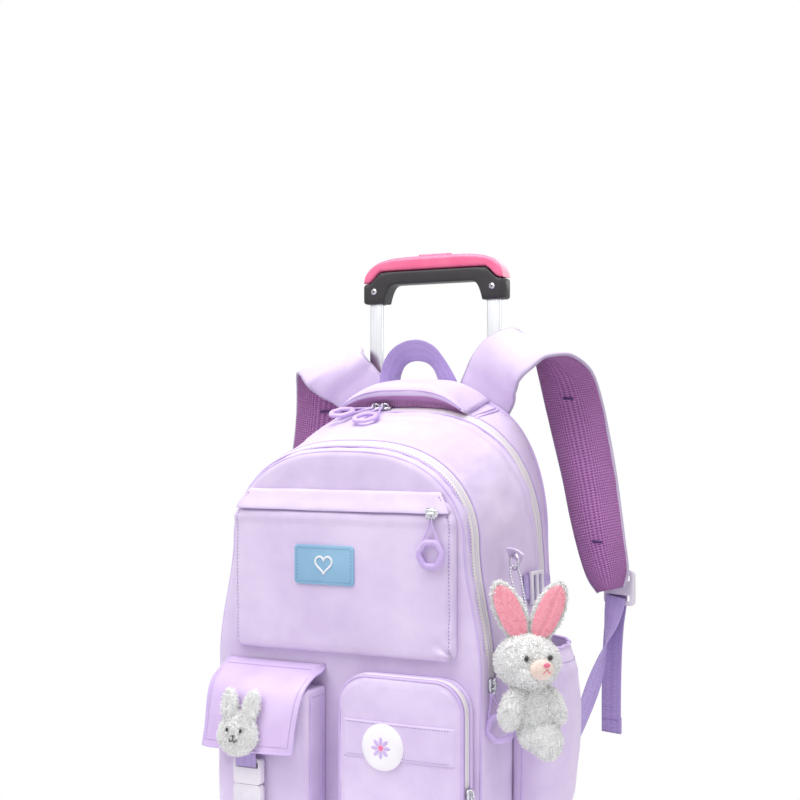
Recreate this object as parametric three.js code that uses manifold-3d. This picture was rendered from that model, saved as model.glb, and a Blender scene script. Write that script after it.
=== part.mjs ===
// A child's wheeled school backpack: a soft bag with five pockets on a trolley frame with a telescopic handle.
// Millimetres. +X is the viewer's right from the front, -Y the front, +Z up, and the floor is z = 0.
import * as THREE from 'three';
import { mergeVertices } from 'three/addons/utils/BufferGeometryUtils.js';
import Module from 'manifold-3d';

const wasm = await Module();
wasm.setup();

// Clearance between pieces that touch, and the wall of lined polyester cloth.
const fit = 0.3;
const cloth = 1.6;

// The bag's body. Its top rises from front to back, and its sides spread from the arch's spring line down to the hip.
const bag = {
  half: 150, bottom: 45, corner: 26, front: -80, divider: -42, back: 104,
  frontTop: 450, rise: 60, spring: 361, hip: 240, faceRound: 6, rimRound: 9, panel: 3,
};
const bagDepth = bag.back - bag.front;

// The bag's outline along its depth. half and flare are shares of bag.half, lift is a share of bag.rise.
const bagSections = [
  { along: 0.0, half: 0.885, flare: 0.115, power: 2.6, lift: 0.0 },
  { along: 0.1, half: 0.895, flare: 0.105, power: 2.6, lift: 0.1 },
  { along: 0.21, half: 0.92, flare: 0.08, power: 2.7, lift: 0.22 },
  { along: 0.49, half: 0.96, flare: 0.05, power: 2.9, lift: 0.51 },
  { along: 0.71, half: 0.99, flare: 0.025, power: 3.1, lift: 0.73 },
  { along: 1.0, half: 0.955, flare: 0.04, power: 3.4, lift: 1.0 },
];

// Zippers: band width, thickness and how far the band stands proud of the cloth.
const zip = { width: 8, thick: 1.6, proud: 0.5 };
const mainZip = { topY: 42, lowY: 72, top: 491, spanLow: 335, end: 290 };
const frontZip = { y: -62, end: 228 };

// Front pockets, each on the bag's front face: its outline, depth, edge rounding and crown.
const upper = {
  left: -125, right: 125, bottom: 250, top: 410, cornerTop: 6, cornerBottom: 9, depth: 9, round: 4, crown: 3,
  slitZ: 391, slitHalf: 119, slitHeight: 4,
};
const flapPocket = {
  left: -127, right: -20, bottom: 62, top: 216, cornerTop: 3, cornerBottom: 14, depth: 36, round: 8, crown: 5,
};
const zipPocket = {
  left: 8, right: 142, bottom: 62, top: 234, cornerTop: 30, cornerBottom: 18, depth: 24, round: 6, crown: 3,
  zipDepth: 16, zipEnd: 140,
};
const flap = { left: -134, right: -21, top: 237, thick: 2.4 };
// The flap's side profile: out is the distance in front of the bag's face, down the drop from its top seam.
const flapRows = [
  { out: 0.6, down: 0, narrow: 0 }, { out: 9, down: 4, narrow: 0 }, { out: 20, down: 9, narrow: 0.5 },
  { out: 32, down: 15, narrow: 1 }, { out: 40, down: 22, narrow: 2 }, { out: 45, down: 32, narrow: 3 },
  { out: 49, down: 46, narrow: 4 }, { out: 53, down: 62, narrow: 5 }, { out: 57, down: 80, narrow: 5 },
];

// Side pockets: open bags on the bag's sides, from front edge to back edge, with how far each level stands out.
const sidePocket = { front: -10, back: 80, bottom: 66, top: 258, bulge: 48 };

// The padded panel at the back, and the padded strip on top of the bag.
const backPanel = { half: 122, bottom: 80, top: 462, thick: 8, corner: 30, round: 3 };
const topPad = { half: 76, lip: 35, front: 49, back: 98.5, thick: 21, clear: 0.8 };

// Webbing widths and thickness, and those of the padded shoulder straps.
const webbing = { wide: 25, thick: 1.5 };
const pad = { wide: 70, thick: 12 };

// The trolley frame: tube spacing, the depth at which the tubes stand, outer and inner tube sections.
const tube = {
  spacing: 146, y: 124, outerWide: 20.4, outerDeep: 14.4, wall: 1.2, innerWide: 17, innerDeep: 11,
  outerBottom: 34, outerTop: 452, innerBottom: 190, corner: 3,
};
const bracket = { half: 94, bottom: 424, height: 24, wall: 3.2 };
const grip = {
  half: 86, blockWide: 26, depth: 21, bottom: 612, blockDrop: 21, coreThick: 15, coverThick: 16, socket: 16,
};
const button = { length: 42, wide: 12, proud: 1.6, travel: 3, floor: 7 / 16 };

// The grip's heights, each from the one below it. The cover's ends dip below the split by a part of the core.
const gripCross = grip.bottom + grip.blockDrop;
const gripSplit = gripCross + grip.coreThick;
const gripTop = gripSplit + grip.coverThick;
const gripShoulder = gripSplit + grip.coverThick / 8;
const coverEnd = gripSplit - grip.coreThick * 13 / 15;
const coverDip = gripSplit - grip.coreThick / 3;
const buttonFloor = gripSplit + grip.coverThick * button.floor;

// Wheels and base. The wheels stand behind the bag's lower corners and the foot under its front.
const wheel = { radius: 32, wide: 22, hub: 22, gap: 4, y: 139, bore: 3.4, play: 0.8 };
const axle = { radius: 3, head: 6.5, headThick: 2 };
const base = {
  half: 104, front: -68, plateTop: 44.5, plateThick: 8, housingFront: 106, housingBack: 156, housingTop: 76,
  housingBottom: 20, footHalf: 84, footBack: 16, plateHalf: 96,
};
const wheelInner = base.half + wheel.gap;

// Small helpers for vectors and numbers.
const V = (x, y, z) => new THREE.Vector3(x, y, z);
const mix = (a, b, t) => a + (b - a) * t;
const ease = (t) => t * t * (3 - 2 * t);
const clamp = (t, lo = 0, hi = 1) => Math.min(hi, Math.max(lo, t));

// A closed body through sections of equal point counts. The ends are fans round the section's centre.
function loft(sections) {
  const n = sections[0].length;
  const positions = [];
  const index = [];
  const add = (p) => positions.push(p.x, p.y, p.z) / 3 - 1;
  const rings = sections.map((section) => section.map(add));
  for (let i = 1; i < rings.length; i += 1) {
    const [a, b] = [rings[i - 1], rings[i]];
    for (let j = 0; j < n; j += 1) {
      const k = (j + 1) % n;
      index.push(a[j], a[k], b[k], a[j], b[k], b[j]);
    }
  }
  const cap = (section, ids, flip) => {
    const centre = section.reduce((sum, p) => sum.add(p), V(0, 0, 0)).divideScalar(n);
    const c = add(centre);
    for (let j = 0; j < n; j += 1) {
      const k = (j + 1) % n;
      index.push(...(flip ? [c, ids[k], ids[j]] : [c, ids[j], ids[k]]));
    }
  };
  cap(sections[0], rings[0], true);
  cap(sections[sections.length - 1], rings[rings.length - 1], false);
  return faced(positions, index);
}

// A geometry from positions and triangles, turned so that its faces point out.
function faced(positions, index) {
  const geometry = new THREE.BufferGeometry();
  geometry.setAttribute('position', new THREE.Float32BufferAttribute(positions, 3));
  let volume = 0;
  const p = (i) => V(positions[3 * i], positions[3 * i + 1], positions[3 * i + 2]);
  for (let i = 0; i < index.length; i += 3) {
    volume += p(index[i]).dot(p(index[i + 1]).cross(p(index[i + 2])));
  }
  const order = volume < 0 ? index.slice().reverse() : index;
  geometry.setIndex(order);
  return geometry;
}

// Conversions between a closed geometry and a solid that can be joined and cut.
function toSolid(geometry) {
  let g = geometry.clone();
  for (const name of ['normal', 'uv']) g.deleteAttribute(name);
  g = mergeVertices(g, 1e-4);
  const mesh = new wasm.Mesh({
    numProp: 3,
    vertProperties: new Float32Array(g.attributes.position.array),
    triVerts: new Uint32Array(g.index.array),
  });
  return new wasm.Manifold(mesh);
}

function toGeometry(solid) {
  const mesh = solid.getMesh();
  const geometry = new THREE.BufferGeometry();
  geometry.setAttribute('position', new THREE.Float32BufferAttribute(mesh.vertProperties, 3));
  geometry.setIndex(Array.from(mesh.triVerts));
  return geometry;
}

// Flat facets that a cut leaves in strips are merged again when they lie within this distance of one plane.
const merge = 0.12;

const cut = (body, ...tools) => toGeometry(
  tools.reduce((s, t) => s.subtract(toSolid(t)), toSolid(body)).simplify(merge),
);
const join = (body, ...more) => toGeometry(
  more.reduce((s, t) => s.add(toSolid(t)), toSolid(body)).simplify(merge),
);

// A box from its lowest to its highest corner.
function box(x0, y0, z0, x1, y1, z1) {
  const g = new THREE.BoxGeometry(x1 - x0, y1 - y0, z1 - z0);
  return g.translate((x0 + x1) / 2, (y0 + y1) / 2, (z0 + z1) / 2);
}

// A vertical bar with rounded corners, from z0 to z1.
function bar(x, y, wide, deep, corner, z0, z1) {
  const shape = new THREE.Shape();
  const [a, b] = [wide / 2, deep / 2];
  shape.moveTo(-a + corner, -b);
  shape.lineTo(a - corner, -b);
  shape.absarc(a - corner, -b + corner, corner, -Math.PI / 2, 0);
  shape.absarc(a - corner, b - corner, corner, 0, Math.PI / 2);
  shape.absarc(-a + corner, b - corner, corner, Math.PI / 2, Math.PI);
  shape.absarc(-a + corner, -b + corner, corner, Math.PI, 1.5 * Math.PI);
  const g = new THREE.ExtrudeGeometry(shape, { depth: z1 - z0, bevelEnabled: false, curveSegments: 2 });
  return g.translate(x, y, z0);
}

// A plate standing in the XZ plane: the shape's y becomes z, and it is thick mm deep from front to back.
function standing(shape, y, thick, bevel = 0, curveSegments = 6) {
  const settings = {
    depth: thick - 2 * bevel, bevelEnabled: bevel > 0, bevelThickness: bevel, bevelSize: bevel,
    bevelOffset: -bevel, bevelSegments: 1, curveSegments,
  };
  const g = new THREE.ExtrudeGeometry(shape, settings);
  return g.rotateX(Math.PI / 2).translate(0, y + thick - bevel, 0);
}

// A flat strip that follows rows of { p, across, out }: a rounded oblong section at each row.
function strip(rows, wide, thick) {
  const sections = rows.map((row) => {
    const w = (row.wide ?? wide) / 2;
    const t = (row.thick ?? thick) / 2;
    const edge = Math.min(t * 0.8, w * 0.4);
    const corners = [[w, -t * 0.4], [w, t * 0.4], [w - edge, t], [edge - w, t], [-w, t * 0.4], [-w, -t * 0.4],
      [edge - w, -t], [w - edge, -t]];
    return corners.map(([a, b]) => row.p.clone().addScaledVector(row.across, a).addScaledVector(row.out, b));
  });
  return loft(sections);
}

// Rows for a strip from points and the directions across it; out is square to both.
function stripRows(list) {
  return list.map((row, i) => {
    const before = list[Math.max(i - 1, 0)].p;
    const after = list[Math.min(i + 1, list.length - 1)].p;
    const along = after.clone().sub(before).normalize();
    const across = row.across.clone().addScaledVector(along, -row.across.dot(along)).normalize();
    return { ...row, across, out: along.clone().cross(across).normalize() };
  });
}

// A round rod through points.
function rod(points, radius, sides = 8, steps = 2) {
  const shape = new THREE.Shape();
  for (let i = 0; i < sides; i += 1) {
    const a = (2 * Math.PI * i) / sides;
    shape[i ? 'lineTo' : 'moveTo'](radius * Math.cos(a), radius * Math.sin(a));
  }
  const curve = new THREE.CatmullRomCurve3(points);
  return new THREE.ExtrudeGeometry(shape, { steps: steps * (points.length - 1), extrudePath: curve });
}

// A ball stretched to three half sizes.
function ball(centre, rx, ry, rz, around = 14, levels = 9) {
  const g = new THREE.SphereGeometry(1, around, levels);
  return g.rotateX(Math.PI / 2).scale(rx, ry, rz).translate(centre.x, centre.y, centre.z);
}

// The bag's outline at a depth y, moved inwards by inset.
function bagAt(y) {
  const along = clamp((y - bag.front) / bagDepth);
  let i = 0;
  while (i < bagSections.length - 2 && along > bagSections[i + 1].along) i += 1;
  const [a, b] = [bagSections[i], bagSections[i + 1]];
  const t = clamp((along - a.along) / (b.along - a.along));
  return {
    half: mix(a.half, b.half, t) * bag.half,
    flare: mix(a.flare, b.flare, t) * bag.half,
    power: mix(a.power, b.power, t),
    top: bag.frontTop + mix(a.lift, b.lift, t) * bag.rise,
  };
}

// The sides spread along straight stretches between these levels, from the hip up to the spring line.
const sideLevels = [0.0, 0.3, 0.6];

function sideX(s, z, inset = 0) {
  const level = clamp((z - bag.hip) / (bag.spring - bag.hip));
  const nodes = [...sideLevels, 1];
  const i = Math.max(nodes.findIndex((node) => node >= level), 1);
  const t = (level - nodes[i - 1]) / (nodes[i] - nodes[i - 1]);
  return s.half - inset + s.flare * mix(ease(1 - nodes[i - 1]), ease(1 - nodes[i]), t);
}

function archPoint(s, y, angle, inset = 0) {
  const c = Math.cos(angle);
  const x = (s.half - inset) * Math.sign(c) * Math.abs(c) ** (2 / s.power);
  return V(x, y, bag.spring + (s.top - inset - bag.spring) * Math.sin(angle));
}

const archSteps = 16;

function bagRing(y, inset = 0) {
  const s = bagAt(y);
  const low = bag.bottom + inset;
  const r = Math.max(bag.corner - inset, 3);
  const wide = s.half + s.flare - inset;
  const right = [V(wide - r, y, low)];
  for (let i = 1; i <= 3; i += 1) {
    const a = -Math.PI / 2 + (Math.PI / 2) * (i / 3);
    right.push(V(wide - r + r * Math.cos(a), y, low + r + r * Math.sin(a)));
  }
  for (const level of sideLevels) {
    const z = mix(bag.hip, bag.spring, level);
    right.push(V(sideX(s, z, inset), y, z));
  }
  const arch = [];
  for (let i = 0; i <= archSteps; i += 1) arch.push(archPoint(s, y, (Math.PI * i) / archSteps, inset));
  const left = right.map((p) => V(-p.x, p.y, p.z)).reverse();
  return [...right, ...arch, ...left];
}

// A band of cloth or zipper that lies on the bag: at each point its place, the way across it and the way out.
function bandOnBag(depthAt, end, steps = archSteps) {
  const place = (side, z) => {
    const y = depthAt(z);
    return V(side * sideX(bagAt(y), z), y, z);
  };
  const onArch = (angle) => {
    let p = archPoint(bagAt(depthAt(bag.frontTop)), depthAt(bag.frontTop), angle);
    for (let i = 0; i < 6; i += 1) {
      const y = depthAt(p.z);
      p = archPoint(bagAt(y), y, angle);
    }
    return p;
  };
  const nodes = sideLevels.map((level) => mix(bag.hip, bag.spring, level));
  const lows = [end, ...nodes.filter((z) => z > end + 3)];
  const points = lows.map((z) => place(1, z));
  for (let i = 0; i <= steps; i += 1) points.push(onArch((Math.PI * i) / steps));
  points.push(...lows.slice().reverse().map((z) => place(-1, z)));
  return points.map((p, i) => {
    const along = points[Math.min(i + 1, points.length - 1)].clone().sub(points[Math.max(i - 1, 0)]).normalize();
    const s = bagAt(p.y);
    const ahead = bagAt(p.y + 4);
    const grow = V(Math.sign(p.x) * (ahead.half - s.half) * Math.min(1, Math.abs(p.x) / s.half), 4,
      p.z > bag.spring ? ((ahead.top - s.top) * (p.z - bag.spring)) / (s.top - bag.spring) : 0);
    const across = grow.addScaledVector(along, -grow.dot(along)).normalize();
    const out = along.clone().cross(across).normalize();
    if (out.x * p.x + out.z * (p.z - bag.spring * 0.8) < 0) out.negate();
    return { p, across, out };
  });
}

// The closed band of a zipper on such rows, and the wider slot that it lies in.
function zipBand(rows, grow = 0, deep = 0) {
  const outer = zip.proud + deep;
  const inner = zip.thick - zip.proud + deep;
  const half = zip.width / 2 + grow;
  const ends = rows.map((row, i) => {
    const tip = i === 0 || i === rows.length - 1;
    const next = rows[i === 0 ? 1 : rows.length - 2];
    const shift = tip ? row.p.clone().sub(next.p).setLength(grow) : V(0, 0, 0);
    return { ...row, p: row.p.clone().add(shift) };
  });
  return loft(ends.map(({ p, across, out }) => [[half, outer], [-half, outer], [-half, -inner], [half, -inner]]
    .map(([a, b]) => p.clone().addScaledVector(across, a).addScaledVector(out, b))));
}

const mainZipDepth = (z) => mix(mainZip.topY, mainZip.lowY, clamp((mainZip.top - z) / (mainZip.top - mainZip.spanLow)));
const mainZipRows = bandOnBag(mainZipDepth, mainZip.end);
const frontZipRows = bandOnBag(() => frontZip.y, frontZip.end);

function mainCompartment() {
  const front = bag.divider + fit;
  const rim = bag.back - bag.rimRound;
  const nodes = bagSections.map((row) => bag.front + row.along * bagDepth).filter((y) => y > front + 5 && y < rim - 5);
  const outer = [front, ...nodes, rim].map((y) => bagRing(y));
  outer.push(bagRing(bag.back - bag.rimRound * 0.35, bag.rimRound * 0.3), bagRing(bag.back, bag.rimRound));
  const inner = [front + cloth, ...nodes, rim].map((y) => bagRing(y, cloth));
  inner.push(bagRing(bag.back - bag.panel, bag.rimRound * 0.6 + cloth));
  return cut(loft(outer), loft(inner), zipBand(mainZipRows, fit + merge, cloth + 3));
}

// The front compartment's band lies on its cloth, with no slot under it.
const raised = (row) => ({ ...row, p: row.p.clone().addScaledVector(row.out, zip.thick - zip.proud + fit + 0.5) });

function frontCompartment() {
  const back = bag.divider;
  const node = bag.front + bagSections[1].along * bagDepth;
  const outer = [bagRing(back), bagRing(node), bagRing(bag.front + bag.faceRound * 0.8),
    bagRing(bag.front + bag.faceRound * 0.15, bag.faceRound * 0.4), bagRing(bag.front, bag.faceRound)];
  const inner = [bagRing(back + 1, cloth), bagRing(node, cloth), bagRing(bag.front + bag.faceRound * 0.8, cloth),
    bagRing(bag.front + cloth, bag.faceRound * 0.6 + cloth)];
  return cut(loft(outer), loft(inner));
}

// A rounded oblong in the XZ plane, moved inwards by inset.
function pocketRing(o, y, inset) {
  const points = [];
  const corners = [
    { x: o.right, z: o.bottom, r: o.cornerBottom, from: -90, sx: -1, sz: 1 },
    { x: o.right, z: o.top, r: o.cornerTop, from: 0, sx: -1, sz: -1 },
    { x: o.left, z: o.top, r: o.cornerTop, from: 90, sx: 1, sz: -1 },
    { x: o.left, z: o.bottom, r: o.cornerBottom, from: 180, sx: 1, sz: 1 },
  ];
  for (const c of corners) {
    const r = Math.max(c.r - inset, 1);
    const cx = c.x + c.sx * (r + inset);
    const cz = c.z + c.sz * (r + inset);
    for (let i = 0; i <= 3; i += 1) {
      const a = ((c.from + 30 * i) * Math.PI) / 180;
      points.push(V(cx + r * Math.cos(a), y, cz + r * Math.sin(a)));
    }
  }
  return points;
}

const faceY = bag.front - fit;

// A pocket on the front face, crowned in front and open at its back, where the bag's face closes it.
function pocketShell(o) {
  const edge = faceY - o.depth;
  const rings = (inset, back, front) => [
    pocketRing(o, back, inset),
    pocketRing(o, edge + o.round, inset),
    pocketRing(o, edge + o.round * 0.3, inset + o.round * 0.3),
    pocketRing(o, edge - front, inset + o.round),
    pocketRing(o, edge - o.crown - front, inset + o.round + 30),
  ];
  return { outer: loft(rings(0, faceY, 0)), inner: loft(rings(cloth, faceY + 1, -cloth)) };
}

function upperPocket() {
  const { outer, inner } = pocketShell(upper);
  const front = faceY - upper.depth - upper.crown;
  const slit = box(-upper.slitHalf, front - 2, upper.slitZ - upper.slitHeight / 2, upper.slitHalf,
    faceY - upper.depth / 2, upper.slitZ + upper.slitHeight / 2);
  return cut(outer, inner, slit);
}

function slitZipper() {
  const y0 = faceY - upper.depth + upper.round * 0.5;
  const half = upper.slitHeight / 2 - fit;
  return box(-upper.slitHalf + fit, y0 - 3, upper.slitZ - half, upper.slitHalf - fit, y0, upper.slitZ + half);
}

// The flap pocket is open at its top, under the flap.
function flapPocketShell() {
  const { outer, inner } = pocketShell(flapPocket);
  const mouth = box(flapPocket.left + 6, faceY - flapPocket.depth + flapPocket.round * 0.6, flapPocket.top - 12,
    flapPocket.right - 6, faceY + 1, flapPocket.top + 1);
  return cut(outer, inner, mouth);
}

// The zip pocket's zipper runs round its rim, from one side over the top to the other.
function pocketZipRows() {
  const y = faceY - zipPocket.zipDepth;
  const ring = pocketRing(zipPocket, y, 0);
  const upperRing = ring.filter((p) => p.z > zipPocket.top - zipPocket.cornerTop - 1);
  const low = (x) => [V(x, y, zipPocket.zipEnd), V(x, y, (zipPocket.zipEnd + zipPocket.top) / 2)];
  const points = [...low(zipPocket.right), ...upperRing, ...low(zipPocket.left).reverse()];
  return points.map((p, i) => {
    const along = points[Math.min(i + 1, points.length - 1)].clone().sub(points[Math.max(i - 1, 0)]).normalize();
    const across = V(0, 1, 0);
    return { p, across, out: V(along.z, 0, -along.x).normalize() };
  });
}

function zipPocketShell() {
  const { outer, inner } = pocketShell(zipPocket);
  return cut(outer, inner, zipBand(pocketZipRows(), fit, cloth + 3));
}

function flapSheet() {
  const rows = flapRows.map((row) => ({
    p: V((flap.left + flap.right) / 2, faceY - row.out, flap.top - row.down),
    across: V(1, 0, 0),
    wide: flap.right - flap.left - 2 * row.narrow,
  }));
  return strip(stripRows(rows), 0, flap.thick);
}

// A side pocket: quarter rings from the front edge to the back edge, at levels from its bottom to its open mouth.
const sideRows = [
  { level: 0.0, out: 0.3 }, { level: 0.08, out: 0.68 }, { level: 0.22, out: 0.86 }, { level: 0.45, out: 0.97 },
  { level: 0.68, out: 1.0 }, { level: 0.86, out: 0.93 }, { level: 1.0, out: 0.7 },
];

function sidePocketShell(side) {
  const steps = 8;
  const clear = fit + 0.6;
  const layer = (wall, lift) => sideRows.map((row, i) => {
    const z = mix(sidePocket.bottom, sidePocket.top, row.level) + (i === 0 ? wall : 0) + (i === sideRows.length - 1 ? lift : 0);
    const points = [];
    for (let k = 0; k <= steps; k += 1) {
      const a = Math.PI * (k / steps);
      const y = mix(sidePocket.front + wall, sidePocket.back - wall, (1 - Math.cos(a)) / 2);
      const out = (row.out * sidePocket.bulge - wall) * Math.sin(a) ** 0.6;
      points.push(V(side * (sideX(bagAt(y), z) + clear + Math.max(out, 0) + (wall ? 0 : 1.2)), y, z));
    }
    for (let k = steps; k >= 0; k -= 1) {
      const a = Math.PI * (k / steps);
      const y = mix(sidePocket.front + wall, sidePocket.back - wall, (1 - Math.cos(a)) / 2);
      points.push(V(side * (sideX(bagAt(y), z) + clear - (wall ? 12 : 0)), y, z));
    }
    return points;
  });
  return cut(loft(layer(0, 0)), loft(layer(cloth, 4)));
}

function backPad() {
  const o = { left: -backPanel.half, right: backPanel.half, bottom: backPanel.bottom, top: backPanel.top,
    cornerTop: 70, cornerBottom: backPanel.corner };
  const y = bag.back + fit;
  return loft([pocketRing(o, y, 0), pocketRing(o, y + backPanel.thick - backPanel.round, 0),
    pocketRing(o, y + backPanel.thick, backPanel.round)]);
}

// The padded strip on the bag's top, between the main zipper and the back seam.
// Its section: y runs from the lip over the zipper to the back, up from the bag's top to the pad's crown.
const padSection = [
  { y: 0.22, up: 0.0 }, { y: 0.17, up: 0.3 }, { y: 0.02, up: 0.52 }, { y: 0.0, up: 0.85 }, { y: 0.06, up: 1.12 },
  { y: 0.2, up: 1.3 }, { y: 0.45, up: 1.2 }, { y: 0.8, up: 0.95 }, { y: 0.96, up: 0.75 }, { y: 1.0, up: 0.4 },
  { y: 1.0, up: 0.0 }, { y: 0.6, up: 0.0 },
];

function padOnTop() {
  const spread = 12;
  const sections = [];
  for (let i = 0; i <= spread; i += 1) {
    const u = mix(-1, 1, i / spread);
    const x = u * topPad.half;
    const fade = Math.max(1 - Math.abs(u) ** 3.2, 0) * 0.8 + 0.2;
    sections.push(padSection.map((q) => {
      const y = mix(topPad.lip, topPad.back, q.y);
      const seat = topAt(x, Math.max(y, topPad.front));
      return V(x, y, seat + topPad.clear + q.up * topPad.thick * fade);
    }));
  }
  return loft(sections);
}

// The height of the bag's top at x and y.
function topAt(x, y) {
  const s = bagAt(y);
  const c = Math.min(Math.abs(x) / s.half, 1) ** (s.power / 2);
  return bag.spring + (s.top - bag.spring) * Math.sqrt(1 - c * c);
}

// The grab handle's band: place, way across and width at points from its left foot to its right foot.
const handleRows = [
  { x: -44, y: 101.2, z: 509.6, across: [22, 0, -3] },
  { x: -44, y: 101.2, z: 519, across: [22, -1, -3] },
  { x: -43, y: 101, z: 533, across: [16, -12, 0] },
  { x: -36, y: 100.5, z: 547, across: [14, -8, 14] },
  { x: -24, y: 100, z: 555, across: [8, -7, 21] },
  { x: -9, y: 100, z: 557, across: [0, -8, 23] },
  { x: 5, y: 100, z: 552, across: [-8, -8, 21] },
  { x: 15, y: 100.5, z: 541, across: [-17, -7, 14] },
  { x: 23, y: 101, z: 528, across: [-22, -3, 6] },
  { x: 28, y: 101.2, z: 515, across: [-24, 0, 0] },
  { x: 29, y: 101.2, z: 508.6, across: [-24, 0, 0] },
];

function toRows(list) {
  return stripRows(list.map((r) => ({ ...r, p: V(r.x, r.y, r.z), across: V(...r.across) })));
}

// Shoulder straps: centre, way across from the inner edge to the outer edge, width and thickness.
const strapRightRows = [
  { x: 54, y: 107.2, z: 474, across: [54, 0, -30], wide: 60, thick: 5 },
  { x: 64, y: 107.6, z: 496, across: [54, 0, -34], wide: 64, thick: 6 },
  { x: 73, y: 106.5, z: 514, across: [55, -3, -34], wide: 68, thick: 8 },
  { x: 84, y: 98, z: 531, across: [56, -16, -33], wide: 70, thick: 10 },
  { x: 99, y: 93, z: 545, across: [55, -24, -31], wide: 72, thick: 11 },
  { x: 116, y: 94, z: 553, across: [57, -29, -29], wide: 73, thick: 12 },
  { x: 131, y: 102, z: 555, across: [60, -32, -22], wide: 73, thick: 12 },
  { x: 144, y: 115, z: 547, across: [65, -28, -13], wide: 73, thick: 12 },
  { x: 153, y: 128, z: 527, across: [69, -20, -3], wide: 73, thick: 12 },
  { x: 159, y: 137, z: 496, across: [69, -17, 4], wide: 72, thick: 12 },
  { x: 166, y: 141, z: 460, across: [68, -16, 3], wide: 70, thick: 12 },
  { x: 174, y: 142, z: 422, across: [66, -17, 1], wide: 68, thick: 12 },
  { x: 181, y: 141, z: 385, across: [64, -18, 0], wide: 66, thick: 12 },
  { x: 189, y: 139, z: 348, across: [60, -19, 0], wide: 62, thick: 12 },
  { x: 197, y: 137, z: 318, across: [52, -14, 4], wide: 52, thick: 11 },
  { x: 201, y: 136, z: 301, across: [42, -10, 6], wide: 34, thick: 8 },
];

const strapLeftRows = [
  { x: -56, y: 107.2, z: 474, across: [-54, 0, -30], wide: 60, thick: 5 },
  { x: -66, y: 107.6, z: 493, across: [-54, 0, -34], wide: 64, thick: 6 },
  { x: -80, y: 107, z: 508, across: [-55, -3, -34], wide: 60, thick: 7 },
  { x: -93, y: 103, z: 521, across: [-58, -14, -31], wide: 62, thick: 9 },
  { x: -104, y: 96, z: 532, across: [-62, -22, -30], wide: 68, thick: 10 },
  { x: -114, y: 98, z: 540, across: [-66, -22, -28], wide: 75, thick: 12 },
  { x: -124, y: 107, z: 541, across: [-68, -22, -24], wide: 75, thick: 12 },
  { x: -134, y: 119, z: 533, across: [-68, -22, -16], wide: 75, thick: 12 },
  { x: -143, y: 131, z: 514, across: [-69, -20, -4], wide: 74, thick: 12 },
  { x: -150, y: 138, z: 484, across: [-69, -17, 3], wide: 72, thick: 12 },
  { x: -157, y: 141, z: 450, across: [-68, -16, 3], wide: 70, thick: 12 },
  { x: -165, y: 142, z: 414, across: [-66, -17, 1], wide: 68, thick: 12 },
  { x: -173, y: 141, z: 378, across: [-64, -18, 0], wide: 66, thick: 12 },
  { x: -181, y: 139, z: 341, across: [-60, -19, 0], wide: 62, thick: 12 },
  { x: -189, y: 137, z: 311, across: [-52, -14, 4], wide: 52, thick: 11 },
  { x: -194, y: 136, z: 293, across: [-42, -10, 6], wide: 36, thick: 9 },
];

// The ladder lock behind a strap's end: a frame with two slots for webbing.
const lock = { wide: 38, tall: 38, thick: 5, rim: 5, slot: 6, x: 208, y: 143, z: 304, turn: 0.28 };

function strapLock(side, shift) {
  const [a, b, t] = [lock.wide / 2, lock.tall / 2, lock.thick / 2];
  const slots = [-0.3, 0.26].map((level) => box(-a + lock.rim, -t - 1, level * lock.tall - lock.slot / 2,
    a - lock.rim, t + 1, level * lock.tall + lock.slot / 2));
  const frame = cut(standing(oblong(-a, -b, a, b, 5), -t, 2 * t, 0, 2), ...slots);
  return frame.rotateZ(side * -lock.turn)
    .translate(side * (lock.x - shift.inward), lock.y, lock.z - shift.drop);
}

// The loose tail of webbing below a lock, and the webbing from the lock to the bag's lower back corner.
const tailRows = [
  { x: 205, y: 147.9, z: 304, across: [24, -7, 0] }, { x: 203, y: 148.3, z: 284, across: [24, -7, 0] },
  { x: 200, y: 148.2, z: 262, across: [24, -7, 0] }, { x: 198, y: 148, z: 230, across: [24, -7, 0] },
  { x: 197, y: 148, z: 190, across: [24, -7, 0] }, { x: 197, y: 148, z: 148, across: [24, -7, 0] },
];
const lowerRows = [
  { x: 205, y: 139.9, z: 294, across: [24, -7, 0] }, { x: 203, y: 139.8, z: 282, across: [23, -8, 0] },
  { x: 200, y: 137.6, z: 264, across: [18, -12, 8] }, { x: 195, y: 131, z: 236, across: [6, -17, 18] },
  { x: 187, y: 121, z: 202, across: [-4, -19, 16] }, { x: 177, y: 111, z: 166, across: [-2, -21, 14] },
  { x: 165, y: 103, z: 130, across: [2, -23, 9] }, { x: 154.4, y: 98, z: 102, across: [3, -24, 4] },
  { x: 151.2, y: 96, z: 88, across: [0, -24, 2] },
];

// The left strap's end sits lower and nearer the bag; the shift fades out towards the webbing's lower end.
const strapShift = { right: { drop: 0, inward: 0 }, left: { drop: 7, inward: 7 } };
const fadeFrom = 88;

const mirrored = (list, side, shift) => list.map((r) => {
  const t = clamp((r.z - fadeFrom) / (lock.z - fadeFrom));
  const x = side * (r.x - t * shift.inward);
  return { ...r, x, z: r.z - shift.drop * t, across: [side * r.across[0], r.across[1], r.across[2]] };
});

// The side compression strap on the bag's right side, with its slider.
const sideStrap = { z: 312, front: 24, back: 96, rise: -6 };

// The strap lies on the bag's side, over the main zipper's band.
const strapClear = fit + zip.proud + webbing.thick / 2 + 0.4;

function sideStrapBand() {
  const rows = [];
  for (let i = 0; i <= 6; i += 1) {
    const y = mix(sideStrap.front, sideStrap.back - 2, i / 6);
    const z = sideStrap.z + sideStrap.rise * (i / 6);
    const [high, low] = [1, -1].map((way) => sideX(bagAt(y), z + (way * webbing.wide) / 2));
    const across = V(high - low, 0, webbing.wide);
    rows.push({ p: V(Math.max((high + low) / 2, sideX(bagAt(y), z)) + strapClear, y, z), across });
  }
  return strip(stripRows(rows), webbing.wide, webbing.thick);
}

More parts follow.
